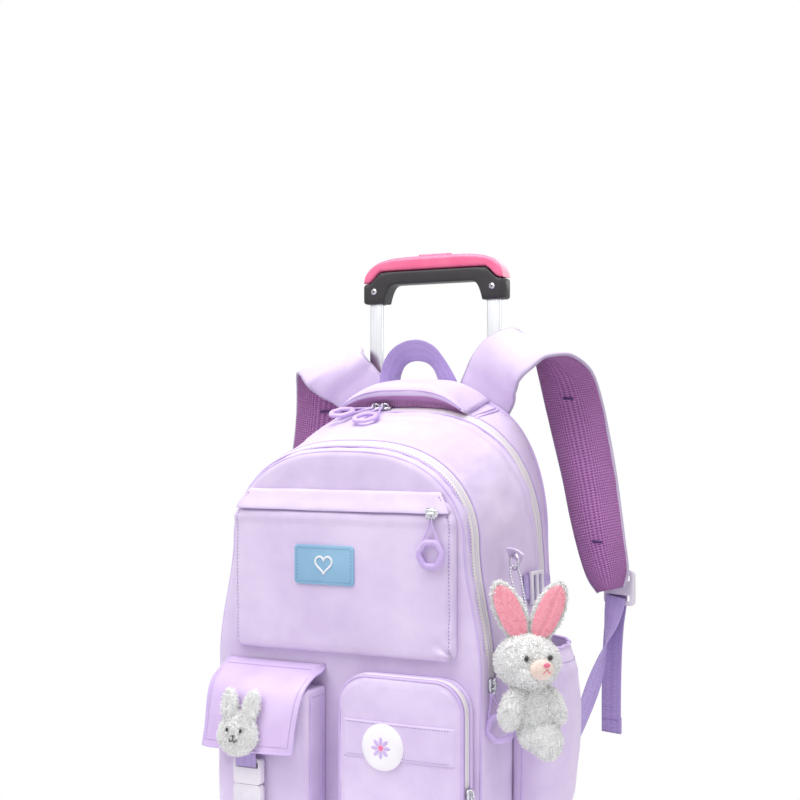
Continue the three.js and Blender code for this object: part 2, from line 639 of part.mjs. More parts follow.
function sideBuckle() {
  const y = mix(sideStrap.front, sideStrap.back, 0.3);
  const [high, low] = [1, -1].map((way) => sideX(bagAt(y), sideStrap.z + (way * webbing.wide) / 2));
  const x = strapClear + webbing.thick / 2 + fit + 0.5;
  const slots = [-5.5, 5.5].map((shift) => box(x - 1, shift - 3, -13, x + 5, shift + 3, 13));
  const plate = cut(box(x, -13, -17, x + 3.2, 13, 17), ...slots);
  return plate.rotateY(Math.atan2(high - low, webbing.wide)).rotateZ(-0.1)
    .translate((high + low) / 2, y, sideStrap.z + sideStrap.rise * 0.3);
}

// The charm's cloth tab, split ring, ball chain and plush rabbit.
const tab = { y: -16, z: 346, wide: 20, length: 15, thick: 2.4, hole: 6.5, holeWide: 7, tip: 3.2, seat: 1 };
const tabX = sideX(bagAt(tab.y + tab.wide / 2), tab.z) + tab.seat;
const holeX = tabX + tab.length - tab.tip - tab.hole / 2;

function sideTab() {
  const rows = [[0, 4], [6, 2], [11, 0], [tab.length, -3]].map(([out, up]) => ({
    p: V(tabX + out, tab.y, tab.z + up), across: V(0, 1, -0.2),
  }));
  const [a, b] = [tab.hole / 2, tab.holeWide / 2];
  return cut(strip(stripRows(rows), tab.wide, tab.thick), box(holeX - a, tab.y - b, tab.z - 12, holeX + a, tab.y + b,
    tab.z + 12));
}

// The ring stands upright through the tab's hole and leans towards the front.
const ring = { radius: 8, wire: 1.1, turn: 0.6, reach: 0.72 };
const ringTop = V(holeX, tab.y, tab.z + 1.1);
const ringCentre = ringTop.clone().add(V(ring.radius * ring.reach * Math.cos(ring.turn),
  -ring.radius * ring.reach * Math.sin(ring.turn), -ring.radius * 0.69));

function sideRing() {
  const g = new THREE.TorusGeometry(ring.radius, ring.wire, 5, 12);
  return g.rotateX(Math.PI / 2).rotateZ(-ring.turn).translate(ringCentre.x, ringCentre.y, ringCentre.z);
}

// The ball chain's route, chosen by eye: from the rabbit up one strand, through the ring and down the other.
const chainPoints = [
  V(179.8, -39.4, 273.6), V(174.3, -28.7, 295), V(165, -18.5, 321), V(160.2, -15.4, 333), V(157.4, -19.2, 338),
  V(155, -23.4, 333), V(160, -28, 319), V(170.8, -35.2, 296), V(181, -44.8, 275.6),
];
const rabbit = { x: 186.8, y: -56.5, z: 252, turn: -0.49 };

// The ball chain is one string of fused beads: the radius rises at each bead and falls to the wire between.
const chain = { beads: 16, bead: 1.9, wire: 0.7, sides: 10 };

function charmChain() {
  const curve = new THREE.CatmullRomCurve3(chainPoints);
  const marks = 2 * chain.beads;
  const frames = curve.computeFrenetFrames(marks);
  const sections = curve.getSpacedPoints(marks).map((p, i) => {
    const r = i % 2 ? chain.bead : chain.wire;
    return Array.from({ length: chain.sides }, (_, k) => {
      const a = (2 * Math.PI * k) / chain.sides;
      return p.clone().addScaledVector(frames.normals[i], r * Math.cos(a))
        .addScaledVector(frames.binormals[i], r * Math.sin(a));
    });
  });
  return loft(sections);
}

// Plush forms of the rabbit about its head's centre, as balls and as ears. They face -Y before the turn.
const rabbitBalls = [
  { x: 0, y: 0, z: 0, rx: 32, ry: 25, rz: 27 },
  { x: 2, y: -18, z: -8, rx: 16, ry: 12, rz: 12 },
  { x: 8, y: 2, z: -46, rx: 22, ry: 19, rz: 29 },
  { x: -15, y: -8, z: -44, rx: 13, ry: 12, rz: 22, tilt: 0.25 },
  { x: 26, y: -2, z: -42, rx: 10, ry: 12, rz: 20, tilt: -0.3 },
  { x: 16, y: -7, z: -72, rx: 17, ry: 15, rz: 21, tilt: -0.35 },
  { x: 2, y: -4, z: -68, rx: 12, ry: 13, rz: 15 },
];
const rabbitEars = [
  { x: -16, z: 46, rx: 14.5, ry: 6, rz: 34, tilt: -0.42 }, { x: 20, z: 46, rx: 14.5, ry: 6, rz: 34, tilt: 0.42 },
];

function rabbitBody() {
  const place = (g, q) => g.rotateY(q.tilt ?? 0).translate(q.x, q.y ?? 2, q.z);
  const parts = [...rabbitBalls, ...rabbitEars].map((q) => place(ball(V(0, 0, 0), q.rx, q.ry, q.rz, 8, 5), q));
  const g = join(...parts);
  return g.rotateZ(-rabbit.turn).translate(rabbit.x, rabbit.y, rabbit.z);
}

// The flat plush head on the flap: it leans with the flap's face.
const flapHead = { x: -84, z: 176, out: 54.6, lean: 0.17 };
const flapHeadBalls = [
  { x: 0, z: -4, rx: 24, rz: 21, ry: 5.4 }, { x: -12, z: 22, rx: 9.5, rz: 19, ry: 4.4, tilt: -0.12 },
  { x: 12, z: 22, rx: 9.5, rz: 19, ry: 4.4, tilt: 0.2 },
];

function flapRabbit() {
  const parts = flapHeadBalls.map((q) => ball(V(0, 0, 0), q.rx, q.ry, q.rz, 10, 4).rotateY(q.tilt ?? 0)
    .translate(q.x, 0, q.z));
  const whole = join(...parts);
  return whole.rotateX(-flapHead.lean).translate(flapHead.x, faceY - flapHead.out - 5.2, flapHead.z);
}

// Flap fastening: webbing from under the flap, and a side-release buckle in two halves.
const buckle = { x: -79, out: 44.5, wide: 32, plugTop: 148, split: 122, bottom: 92, thick: 8, slot: 5 };

function oblong(x0, z0, x1, z1, r) {
  const s = new THREE.Shape();
  s.moveTo(x0 + r, z0);
  s.lineTo(x1 - r, z0);
  s.absarc(x1 - r, z0 + r, r, -Math.PI / 2, 0);
  s.absarc(x1 - r, z1 - r, r, 0, Math.PI / 2);
  s.absarc(x0 + r, z1 - r, r, Math.PI / 2, Math.PI);
  s.absarc(x0 + r, z0 + r, r, Math.PI, 1.5 * Math.PI);
  return s;
}

const buckleY = faceY - buckle.out - buckle.thick;

// One half of the buckle from z0 to z1, with the slot for its webbing at slotZ.
function buckleHalf(z0, z1, slotZ) {
  const plate = standing(oblong(buckle.x - buckle.wide / 2, z0, buckle.x + buckle.wide / 2, z1, 4), buckleY,
    buckle.thick, 0, 2);
  const reach = webbing.wide / 2 + 0.3;
  const slot = box(buckle.x - reach, buckleY - 1, slotZ - buckle.slot / 2, buckle.x + reach,
    buckleY + buckle.thick + 1, slotZ + buckle.slot / 2);
  return cut(plate, slot);
}

const bucklePlug = () => buckleHalf(buckle.split + fit, buckle.plugTop, buckle.plugTop - 6.5);
const buckleSocket = () => buckleHalf(buckle.bottom, buckle.split, buckle.bottom + 6.5);

function webbingDrop(zs, outs) {
  const rows = zs.map((z, i) => ({ p: V(buckle.x, faceY - outs[i], z), across: V(1, 0, 0) }));
  return strip(stripRows(rows), webbing.wide - 1, webbing.thick);
}

const barFront = buckle.out + buckle.thick + fit + webbing.thick / 2 + 0.2;
const flapWebbing = () => webbingDrop([178, 166, 156, buckle.plugTop - 1, buckle.plugTop - 8],
  [50.1, 52.4, 54.2, barFront, barFront]);
const pocketWebbing = () => webbingDrop([buckle.bottom + 8, buckle.bottom - 2, buckle.bottom - 13, buckle.bottom - 22],
  [barFront, barFront, 41.6, 37.4]);

// The label and the badge.
const label = { x: -14, z: 337, wide: 68, tall: 39, thick: 1.8, corner: 4 };
const badge = { x: 60, z: 168, radius: 22.5, thick: 5 };

function labelPlate() {
  const shape = oblong(label.x - label.wide / 2, label.z - label.tall / 2, label.x + label.wide / 2,
    label.z + label.tall / 2, label.corner);
  const y = faceY - upper.depth - upper.crown - fit;
  return standing(shape, y - label.thick, label.thick, 0, 3);
}

function badgePlate() {
  const profile = [[0, badge.thick], [badge.radius * 0.6, badge.thick * 0.92], [badge.radius - 2, badge.thick * 0.68],
    [badge.radius, badge.thick * 0.4], [badge.radius, 0], [0, 0]].map(([r, out]) => new THREE.Vector2(r, -out));
  const y = faceY - zipPocket.depth - zipPocket.crown - fit;
  return new THREE.LatheGeometry(profile, 20).translate(badge.x, y, badge.z);
}

// A zipper slider: a rounded block with a bridge, seated on its zipper by a row's directions.
function slider(row, size = 1) {
  const across = row.across.clone().normalize();
  const out = row.out.clone().normalize();
  const forward = across.clone().cross(out).normalize();
  const block = new THREE.BoxGeometry(9.5 * size, 13 * size, 3.6).translate(0, 0, 1.8);
  const bridge = new THREE.BoxGeometry(2.6, 8 * size, 2.6).translate(0, 0, 4.6);
  const g = join(block, bridge);
  const m = new THREE.Matrix4().makeBasis(across, forward, out);
  if (m.determinant() < 0) m.makeBasis(across.negate(), forward, out);
  const seat = row.p.clone().addScaledVector(out, zip.proud + fit + 0.4);
  return g.applyMatrix4(m).translate(seat.x, seat.y, seat.z);
}

// A rubber pull: a six-sided ring on two cord legs, flat in its own XZ plane, its eye at the origin.
const pull = { ring: 12.5, wire: 2.1, legs: 26, leg: 1.0 };

function pullShape() {
  const profile = [];
  for (let i = 0; i <= 5; i += 1) {
    const a = (2 * Math.PI * i) / 5;
    profile.push(new THREE.Vector2(pull.ring + pull.wire * Math.cos(a), pull.wire * Math.sin(a)));
  }
  const ring = new THREE.LatheGeometry(profile, 6).rotateY(Math.PI / 6)
    .translate(0, 0, -pull.legs - pull.ring * 0.6);
  const leg = (side) => rod([V(side * 0.4, 0, 0), V(side * 3.4, 0, -pull.legs * 0.4),
    V(side * pull.ring * 0.72, 0, -pull.legs * 0.92), V(side * pull.ring * 0.82, 0, -pull.legs - 4)], pull.leg, 4, 1);
  return join(ring, leg(1), leg(-1));
}

// Places a pull with its legs along down and its flat side facing out.
function placedPull(eye, down, out) {
  const y = out.clone().normalize().negate();
  const z = down.clone().addScaledVector(y, -down.dot(y)).normalize().negate();
  const x = y.clone().cross(z);
  const m = new THREE.Matrix4().makeBasis(x, y, z);
  return pullShape().applyMatrix4(m).translate(eye.x, eye.y, eye.z);
}

// The trolley: tubes, bracket, base, axle and wheels.
const tubeX = (side) => (side * tube.spacing) / 2;

function outerTube(side) {
  const outer = bar(tubeX(side), tube.y, tube.outerWide, tube.outerDeep, tube.corner, tube.outerBottom, tube.outerTop);
  const inner = bar(tubeX(side), tube.y, tube.outerWide - 2 * tube.wall, tube.outerDeep - 2 * tube.wall,
    tube.corner - 1, tube.outerBottom + 4, tube.outerTop + 1);
  return cut(outer, inner);
}

function innerTube(side) {
  return bar(tubeX(side), tube.y, tube.innerWide, tube.innerDeep, tube.corner - 0.6, tube.innerBottom,
    grip.bottom + grip.socket);
}

function frameBracket() {
  const front = bag.back + backPanel.thick + 2 * fit;
  const back = tube.y + tube.outerDeep / 2 + bracket.wall;
  const body = box(-bracket.half, front, bracket.bottom, bracket.half, back, bracket.bottom + bracket.height);
  const holes = [-1, 1].map((side) => bar(tubeX(side), tube.y, tube.outerWide + 2 * fit, tube.outerDeep + 2 * fit,
    tube.corner, bracket.bottom - 1, bracket.bottom + bracket.height + 1));
  return cut(body, ...holes);
}

function lying(radius, x0, x1, y, z, sides = 14) {
  return new THREE.CylinderGeometry(radius, radius, x1 - x0, sides).rotateZ(Math.PI / 2).translate((x0 + x1) / 2, y, z);
}

function baseBody() {
  const housing = box(-base.half, base.housingFront, base.housingBottom, base.half, base.housingBack, base.housingTop);
  const plate = box(-base.plateHalf, base.front, base.plateTop - base.plateThick, base.plateHalf,
    base.housingFront + 2, base.plateTop);
  const foot = box(-base.footHalf, base.front, 0, base.footHalf, base.footBack, base.plateTop - base.plateThick + 1);
  const sockets = [-1, 1].map((side) => bar(tubeX(side), tube.y, tube.outerWide + 2 * fit, tube.outerDeep + 2 * fit,
    tube.corner, tube.outerBottom - fit, base.housingTop + 1));
  const bore = lying(axle.radius + fit, -base.half - 1, base.half + 1, wheel.y, wheel.radius);
  return cut(join(housing, plate, foot), ...sockets, bore);
}

function axleRod() {
  const end = wheelInner + wheel.wide + wheel.play;
  const rodBody = lying(axle.radius, -end - 1, end + 1, wheel.y, wheel.radius);
  const heads = [-1, 1].map((side) => lying(axle.head, side > 0 ? end : -end - axle.headThick,
    side > 0 ? end + axle.headThick : -end, wheel.y, wheel.radius));
  return join(rodBody, ...heads);
}

function wheelDisc(side) {
  const w = wheel.wide / 2;
  const boss = 8;
  const lip = wheel.hub - 3;
  const profile = [[wheel.bore, -w], [boss, -w], [wheel.hub, -w + 1], [wheel.hub, w - 1], [lip, w - 1],
    [lip - 1, w - 4], [boss + 1, w - 4], [boss, w], [wheel.bore, w], [wheel.bore, -w]]
    .map(([r, x]) => new THREE.Vector2(r, side * x));
  if (side < 0) profile.reverse();
  return new THREE.LatheGeometry(profile, 16).rotateZ(-Math.PI / 2)
    .translate(side * (wheelInner + w + wheel.play / 2), wheel.y, wheel.radius);
}

// The tyre's bore has more facets than the wheel's rim, so it needs a little more than the plain clearance.
const tyreGap = fit + 0.1;

function tyreRing(side) {
  const w = wheel.wide / 2 - 1;
  const r = wheel.radius;
  const profile = [[wheel.hub + tyreGap, -w], [r - 3, -w], [r, -w + 4], [r, w - 4], [r - 3, w],
    [wheel.hub + tyreGap, w], [wheel.hub + tyreGap, -w]].map(([a, x]) => new THREE.Vector2(a, x));
  return new THREE.LatheGeometry(profile, 20).rotateZ(Math.PI / 2)
    .translate(side * (wheelInner + wheel.wide / 2 + wheel.play / 2), wheel.y, wheel.radius);
}

// The grip's front view: the black core, and the pink cover arched over it.
function gripCore() {
  const inner = grip.half - grip.blockWide;
  const s = new THREE.Shape();
  const half = [
    [grip.half, grip.bottom], [grip.half, coverEnd], [grip.half - 9, coverEnd + 2],
    [grip.half - 15, coverDip], [grip.half - 20, gripSplit], [0, gripSplit],
  ];
  const under = [[0, gripCross], [inner - 16, gripCross], [inner - 4, gripCross - grip.blockDrop * 4 / 21],
    [inner, gripCross - grip.blockDrop * 11 / 21], [inner, grip.bottom]];
  const right = [...half.slice(0, 5)];
  const loop = [...right, ...right.slice().reverse().map(([x, z]) => [-x, z]), ...under.slice().reverse()
    .map(([x, z]) => [-x, z]), ...under.slice(1)];
  loop.forEach(([x, z], i) => s[i ? 'lineTo' : 'moveTo'](x, z));
  const body = standing(s, tube.y - grip.depth / 2, grip.depth, 1.5);
  const sockets = [-1, 1].map((side) => bar(tubeX(side), tube.y, tube.innerWide + 2 * fit, tube.innerDeep + 2 * fit,
    tube.corner - 0.6, grip.bottom - 1, grip.bottom + grip.socket + fit));
  const well = box(-button.length / 2 - fit, tube.y - button.wide / 2 - fit, buttonFloor,
    button.length / 2 + fit, tube.y + button.wide / 2 + fit, gripTop + 1);
  return cut(body, ...sockets, well);
}

function gripCover() {
  const s = new THREE.Shape();
  const low = [
    [grip.half, coverEnd + fit], [grip.half - 9, coverEnd + 2 + fit],
    [grip.half - 15 - fit, coverDip + fit], [grip.half - 20 - fit, gripSplit + fit],
  ];
  const rise = grip.coverThick / 8;
  const top = [[grip.half, coverEnd + 4], [grip.half - 3, gripShoulder - rise * 2.5],
    [grip.half - 9, gripShoulder + rise], [grip.half - 20, gripTop - rise * 3], [grip.half - 40, gripTop - rise],
    [24, gripTop]];
  const loop = [...low.slice().reverse(), ...top, ...top.slice().reverse().map(([x, z]) => [-x, z]),
    ...low.map(([x, z]) => [-x, z])];
  loop.forEach(([x, z], i) => s[i ? 'lineTo' : 'moveTo'](x, z));
  const body = standing(s, tube.y - grip.depth / 2 - 0.5, grip.depth + 1, 2.5);
  const shape = oblong(-button.length / 2 - fit, -button.wide / 2 - fit, button.length / 2 + fit,
    button.wide / 2 + fit, button.wide / 2 - 0.2);
  const well = new THREE.ExtrudeGeometry(shape, { depth: 40, bevelEnabled: false, curveSegments: 3 })
    .translate(0, tube.y, buttonFloor);
  return cut(body, well);
}

function gripButton() {
  const shape = oblong(-button.length / 2, -button.wide / 2, button.length / 2, button.wide / 2,
    button.wide / 2 - 0.5);
  const bottom = buttonFloor + button.travel + 1;
  const settings = {
    depth: gripTop + button.proud - bottom - 2, bevelEnabled: true, bevelThickness: 1, bevelSize: 1,
    bevelOffset: -1, bevelSegments: 1, curveSegments: 3,
  };
  return new THREE.ExtrudeGeometry(shape, settings).translate(0, tube.y, bottom + 1);
}

// Colours and finishes of the pieces.
const finishes = {
  lilac: { color: 0xe3d3f4, roughness: 0.75, metalness: 0 },
  mesh: { color: 0xb477be, roughness: 0.85, metalness: 0 },
  webbing: { color: 0x9b85c9, roughness: 0.8, metalness: 0 },
  zipper: { color: 0xd8d2da, roughness: 0.7, metalness: 0 },
  flap: { color: 0xd9beee, roughness: 0.5, metalness: 0 },
  blue: { color: 0x8fb9d9, roughness: 0.6, metalness: 0 },
  white: { color: 0xe8e6ea, roughness: 0.4, metalness: 0 },
  plush: { color: 0xf6f5f3, roughness: 1, metalness: 0 },
  rubber: { color: 0xcbb0e8, roughness: 0.5, metalness: 0 },
  chrome: { color: 0xc9c9cc, roughness: 0.2, metalness: 1 },
  aluminium: { color: 0xdfe0e3, roughness: 0.3, metalness: 1 },
  steel: { color: 0x9fa0a4, roughness: 0.35, metalness: 1 },
  black: { color: 0x2e2a2e, roughness: 0.5, metalness: 0 },
  pink: { color: 0xff6f9b, roughness: 0.35, metalness: 0 },
  tyre: { color: 0x1e1d20, roughness: 0.8, metalness: 0 },
};

function piece(name, geometry, finish) {
  const { color, roughness, metalness } = finishes[finish];
  const mesh = new THREE.Mesh(geometry, new THREE.MeshStandardMaterial({ color, roughness, metalness }));
  mesh.name = name;
  return mesh;
}

const part = new THREE.Group();
const bagGroup = new THREE.Group();
const trolley = new THREE.Group();
const handle = new THREE.Group();
part.add(bagGroup, trolley, handle);

bagGroup.add(
  piece('main_compartment', mainCompartment(), 'lilac'),
  piece('front_compartment', frontCompartment(), 'lilac'),
  piece('back_panel', backPad(), 'mesh'),
  piece('top_pad', padOnTop(), 'lilac'),
  piece('upper_pocket', upperPocket(), 'lilac'),
  piece('flap_pocket', flapPocketShell(), 'lilac'),
  piece('flap', flapSheet(), 'flap'),
  piece('zip_pocket', zipPocketShell(), 'lilac'),
  piece('side_pocket_left', sidePocketShell(-1), 'lilac'),
  piece('side_pocket_right', sidePocketShell(1), 'lilac'),
  piece('main_zipper', zipBand(mainZipRows), 'zipper'),
  piece('front_zipper', zipBand(frontZipRows.map(raised)), 'zipper'),
  piece('slit_zipper', slitZipper(), 'zipper'),
  piece('pocket_zipper', zipBand(pocketZipRows()), 'zipper'),
  piece('grab_handle', strip(toRows(handleRows), webbing.wide, webbing.thick), 'webbing'),
  piece('shoulder_strap_right', strip(toRows(strapRightRows), pad.wide, pad.thick), 'mesh'),
  piece('shoulder_strap_left', strip(toRows(strapLeftRows), pad.wide, pad.thick), 'mesh'),
  piece('side_strap', sideStrapBand(), 'webbing'),
  piece('side_buckle', sideBuckle(), 'white'),
  piece('side_tab', sideTab(), 'lilac'),
  piece('side_ring', sideRing(), 'chrome'),
  piece('charm_chain', charmChain(), 'chrome'),
  piece('charm_rabbit', rabbitBody(), 'plush'),
  piece('flap_rabbit', flapRabbit(), 'plush'),
  piece('flap_webbing', flapWebbing(), 'webbing'),
  piece('buckle_plug', bucklePlug(), 'white'),
  piece('buckle_socket', buckleSocket(), 'white'),
  piece('pocket_webbing', pocketWebbing(), 'webbing'),
  piece('label', labelPlate(), 'blue'),
  piece('badge', badgePlate(), 'white'),
);

for (const [name, side] of [['right', 1], ['left', -1]]) {
  const shift = strapShift[name];
  bagGroup.add(
    piece(`strap_lock_${name}`, strapLock(side, shift), 'white'),
    piece(`strap_tail_${name}`, strip(toRows(mirrored(tailRows, side, shift)), webbing.wide, webbing.thick), 'webbing'),
    piece(`strap_webbing_${name}`, strip(toRows(mirrored(lowerRows, side, shift)), webbing.wide, webbing.thick),
      'webbing'),
  );
}

// The sliders and their pulls. The main zipper has two, which meet near the middle of the bag's top.
const nearest = (rows, test) => rows.reduce((best, row) => (test(row.p) < test(best.p) ? row : best));
const at = (rows, x) => {
  const upperRows = rows.filter((row) => row.p.z > bag.spring);
  const i = upperRows.findIndex((row) => row.p.x < x);
  const [a, b] = [upperRows[i - 1], upperRows[i]];
  const t = (x - a.p.x) / (b.p.x - a.p.x);
  return { p: a.p.clone().lerp(b.p, t), across: a.across.clone().lerp(b.across, t), out: a.out.clone().lerp(b.out, t) };
};
const mainSliders = [
  { name: 'left', x: -30, down: [-34, -16, -6] }, { name: 'right', x: -13, down: [-3, -36, -12] },
];
for (const { name, x, down } of mainSliders) {
  const row = at(mainZipRows, x);
  const eye = row.p.clone().addScaledVector(row.out, 4.8).add(V(0, -5.8, -1.6));
  bagGroup.add(
    piece(`main_slider_${name}`, slider(row), 'chrome'),
    piece(`main_pull_${name}`, placedPull(eye, V(...down), V(0, -0.34, 1)), 'rubber'),
  );
}
const frontEnd = nearest(frontZipRows.map(raised), (p) => Math.abs(p.z - 232) - p.x);
bagGroup.add(
  piece('front_slider', slider(frontEnd), 'chrome'),
  piece('front_pull', placedPull(frontEnd.p.clone().add(V(3.6, -4.4, -7.8)), V(8, 4.2, -34), V(0.47, -0.88, 0)), 'rubber'),
);
const slitSeat = {
  p: V(104, faceY - upper.depth - upper.crown * 0.55, upper.slitZ), across: V(0, 0, 1), out: V(0, -1, 0),
};
bagGroup.add(
  piece('slit_slider', slider(slitSeat, 0.9), 'chrome'),
  piece('slit_pull', placedPull(slitSeat.p.clone().add(V(0, -4.2, -5.2)), V(0, 0, -1), V(0, -1, 0)), 'rubber'),
);
const pocketEnd = pocketZipRows()[0];
bagGroup.add(piece('pocket_slider', slider(pocketEnd, 0.9), 'chrome'));

trolley.add(
  piece('outer_tube_left', outerTube(-1), 'aluminium'),
  piece('outer_tube_right', outerTube(1), 'aluminium'),
  piece('frame_bracket', frameBracket(), 'black'),
  piece('base', baseBody(), 'black'),
  piece('axle', axleRod(), 'steel'),
  piece('wheel_left', wheelDisc(-1), 'black'),
  piece('wheel_right', wheelDisc(1), 'black'),
  piece('tyre_left', tyreRing(-1), 'tyre'),
  piece('tyre_right', tyreRing(1), 'tyre'),
);
handle.add(
  piece('handle_tube_left', innerTube(-1), 'aluminium'),
  piece('handle_tube_right', innerTube(1), 'aluminium'),
  piece('grip_core', gripCore(), 'black'),
  piece('grip_cover', gripCover(), 'pink'),
  piece('grip_button', gripButton(), 'pink'),
);

export default part;
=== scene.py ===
"""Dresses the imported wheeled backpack: lilac cloth, webbing, zippers, plush, plastics and metal."""
import logging
import math
import random
from dataclasses import dataclass, field
from enum import Enum
from typing import Callable, Sequence

import bmesh
import bpy
from mathutils import Matrix, Vector, noise


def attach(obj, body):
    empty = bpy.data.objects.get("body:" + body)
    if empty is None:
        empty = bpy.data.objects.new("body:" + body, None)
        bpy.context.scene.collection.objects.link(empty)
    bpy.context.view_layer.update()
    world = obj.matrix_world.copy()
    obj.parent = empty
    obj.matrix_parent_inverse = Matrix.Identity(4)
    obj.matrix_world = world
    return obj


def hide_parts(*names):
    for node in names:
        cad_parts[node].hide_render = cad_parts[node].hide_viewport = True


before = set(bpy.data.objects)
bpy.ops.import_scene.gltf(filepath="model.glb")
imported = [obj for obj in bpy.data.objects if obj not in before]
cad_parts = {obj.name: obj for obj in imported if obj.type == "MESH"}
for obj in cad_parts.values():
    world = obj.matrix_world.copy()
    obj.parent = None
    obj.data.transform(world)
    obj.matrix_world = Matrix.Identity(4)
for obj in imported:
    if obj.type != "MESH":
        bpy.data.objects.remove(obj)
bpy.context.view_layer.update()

LOG = logging.getLogger("backpack")
MM = 0.001
# A rounded edge's facets, and the smallest angle in degrees between two faces that makes an edge.
EDGE_FACETS = 3
EDGE_ANGLE = 30.0

Mesh = bmesh.types.BMesh
Tree = bpy.types.NodeTree
Socket = bpy.types.NodeSocket
# A seam's station: its point, its way across and its way out.
Row = tuple[Vector, Vector, Vector]
# A strap's station: its centre, its way across, its width and its thickness.
StrapRow = tuple[Vector, Vector, float, float]
Place = Callable[[float, float], Vector]
Relief = Callable[[float, float], float]


def mix(a: float, b: float, t: float) -> float:
    """The value a share t of the way from a to b."""
    return a + (b - a) * t


def clamp(t: float, low: float = 0.0, high: float = 1.0) -> float:
    """t kept between low and high."""
    return min(high, max(low, t))


def ease(t: float) -> float:
    """A smooth step from 0 to 1."""
    t = clamp(t)
    return t * t * (3 - 2 * t)


def bump(d: float, width: float) -> float:
    """A soft hump of height 1 at distance 0 that ends at width."""
    return 1 - ease(abs(d) / width)


def lump(x: float, y: float, z: float) -> float:
    """Smooth noise from -1 to 1 at a place."""
    return noise.noise(Vector((x, y, z)))


def between(p: Sequence[Vector], t: float) -> Vector:
    """The point a share t of the way from the second to the third of four points, on a smooth curve."""
    return 0.5 * (2 * p[1] + (p[2] - p[0]) * t + (2 * p[0] - 5 * p[1] + 4 * p[2] - p[3]) * t * t
                  + (3 * p[1] - 3 * p[2] + p[3] - p[0]) * t ** 3)


def swell(c: float, power: float) -> float:
    """A cosine or sine bent from a circle's towards a square's, the more the higher the power."""
    return math.copysign(abs(c) ** (2 / power), c)


def row_at(rows: Sequence[tuple[float, ...]], v: float) -> list[float]:
    """The row a share v of the way along evenly spaced rows of numbers."""
    i = v * (len(rows) - 1)
    k = min(int(i), len(rows) - 2)
    return [mix(a, b, i - k) for a, b in zip(rows[k], rows[k + 1])]


def heading(points: Sequence[Vector], i: int) -> Vector:
    """The direction of an open path at its point i."""
    return (points[min(i + 1, len(points) - 1)] - points[max(i - 1, 0)]).normalized()


def length_of(points: Sequence[Vector]) -> float:
    """The length of an open path."""
    return sum((b - a).length for a, b in zip(points, points[1:]))


# Shapes. Every mesh is drawn in millimetres and made into a piece in metres.


def grid(across: int, along: int, place: Place, closed: bool = False, uv: tuple[float, float] = (1, 1),
         facing: Vector | None = None) -> Mesh:
    """A grid of faces bent into a surface.

    Args:
        across: faces in the u direction.
        along: faces in the v direction.
        place: gives the point for u and v from 0 to 1.
        closed: welds the two edges where u is 0 and 1, and any ends that meet.
        uv: the size in mm that the pattern map takes across and along.
        facing: for an open surface, the way that its outer side faces.

    Returns:
        The surface, with its pattern map.
    """
    bm = bmesh.new()
    bmesh.ops.create_grid(bm, x_segments=across, y_segments=along, size=0.5)
    layer = bm.loops.layers.uv.new("UVMap")
    for face in bm.faces:
        for loop in face.loops:
            co = loop.vert.co
            loop[layer].uv = ((co.x + 0.5) * uv[0], (co.y + 0.5) * uv[1])
    for vert in bm.verts:
        vert.co = place(vert.co.x + 0.5, vert.co.y + 0.5)
    if closed:
        bmesh.ops.remove_doubles(bm, verts=bm.verts, dist=1e-4)
    bmesh.ops.recalc_face_normals(bm, faces=bm.faces)
    if facing and sum(f.normal.dot(facing) * f.calc_area() for f in bm.faces) < 0:
        bmesh.ops.reverse_faces(bm, faces=bm.faces)
    return bm


def loft(rings: Sequence[Sequence[Vector]], caps: bool = True, uv: tuple[float, float] = (1, 1)) -> Mesh:
    """A closed skin through rings of equal point counts.

    Args:
        rings: rings of points, from one end to the other.
        caps: closes both ends with a face.
        uv: the size in mm that the pattern map takes round and along.

    Returns:
        The skin.
    """
    count, last = len(rings[0]), len(rings) - 1
    bm = grid(count, last, lambda u, v: rings[round(v * last)][round(u * count) % count].copy(), True, uv)
    if caps:
        edges = [e for e in bm.edges if e.is_boundary]
        bmesh.ops.holes_fill(bm, edges=edges, sides=0)
        bmesh.ops.recalc_face_normals(bm, faces=bm.faces)
    return bm


def transported(points: Sequence[Vector], closed: bool = False) -> list[tuple[Vector, Vector]]:
    """The two directions square to a path at each point, without turning round it."""
    count = len(points)
    frames = []
    normal = None
    for i in range(count):
        tangent = (points[(i + 1) % count] - points[i - 1]).normalized() if closed else heading(points, i)
        if normal is None:
            helper = Vector((0, 0, 1)) if abs(tangent.z) < 0.8 else Vector((0, 1, 0))
            normal = helper.cross(tangent).normalized()
        else:
            normal = (normal - tangent * normal.dot(tangent)).normalized()
        frames.append((normal, tangent.cross(normal)))
    return frames


def spline(points: Sequence[Vector], steps: int, closed: bool = False) -> list[Vector]:
    """A smooth path through points.

    Args:
        points: the points to pass through.
        steps: new points per stretch.
        closed: joins the last point to the first.

    Returns:
        The finer path.
    """
    count = len(points)
    out = []
    for i in range(count if closed else count - 1):
        if closed:
            p = [points[(i + k - 1) % count] for k in range(4)]
        else:
            p = [points[min(max(i + k - 1, 0), count - 1)] for k in range(4)]
        out += [between(p, k / steps) for k in range(steps)]
    if not closed:
        out.append(points[-1].copy())
    return out


def tube(points: Sequence[Vector], radius: float, sides: int = 8, closed: bool = False,
         flat: float = 1.0) -> Mesh:
    """A round cord through points.

    Args:
        points: its path.
        radius: its radius in mm.
        sides: faces round it.
        closed: joins its ends.
        flat: the second half width as a share of the radius.

    Returns:
        The tube, closed at its ends.
    """
    frames = transported(points, closed)
    rings = []
    for p, (a, b) in zip(points, frames):
        turn = [2 * math.pi * k / sides for k in range(sides)]
        rings.append([p + a * (radius * math.cos(t)) + b * (radius * flat * math.sin(t)) for t in turn])
    length = length_of(points)
    if closed:
        rings.append(rings[0])
    return loft(rings, not closed, (2 * math.pi * radius, length))


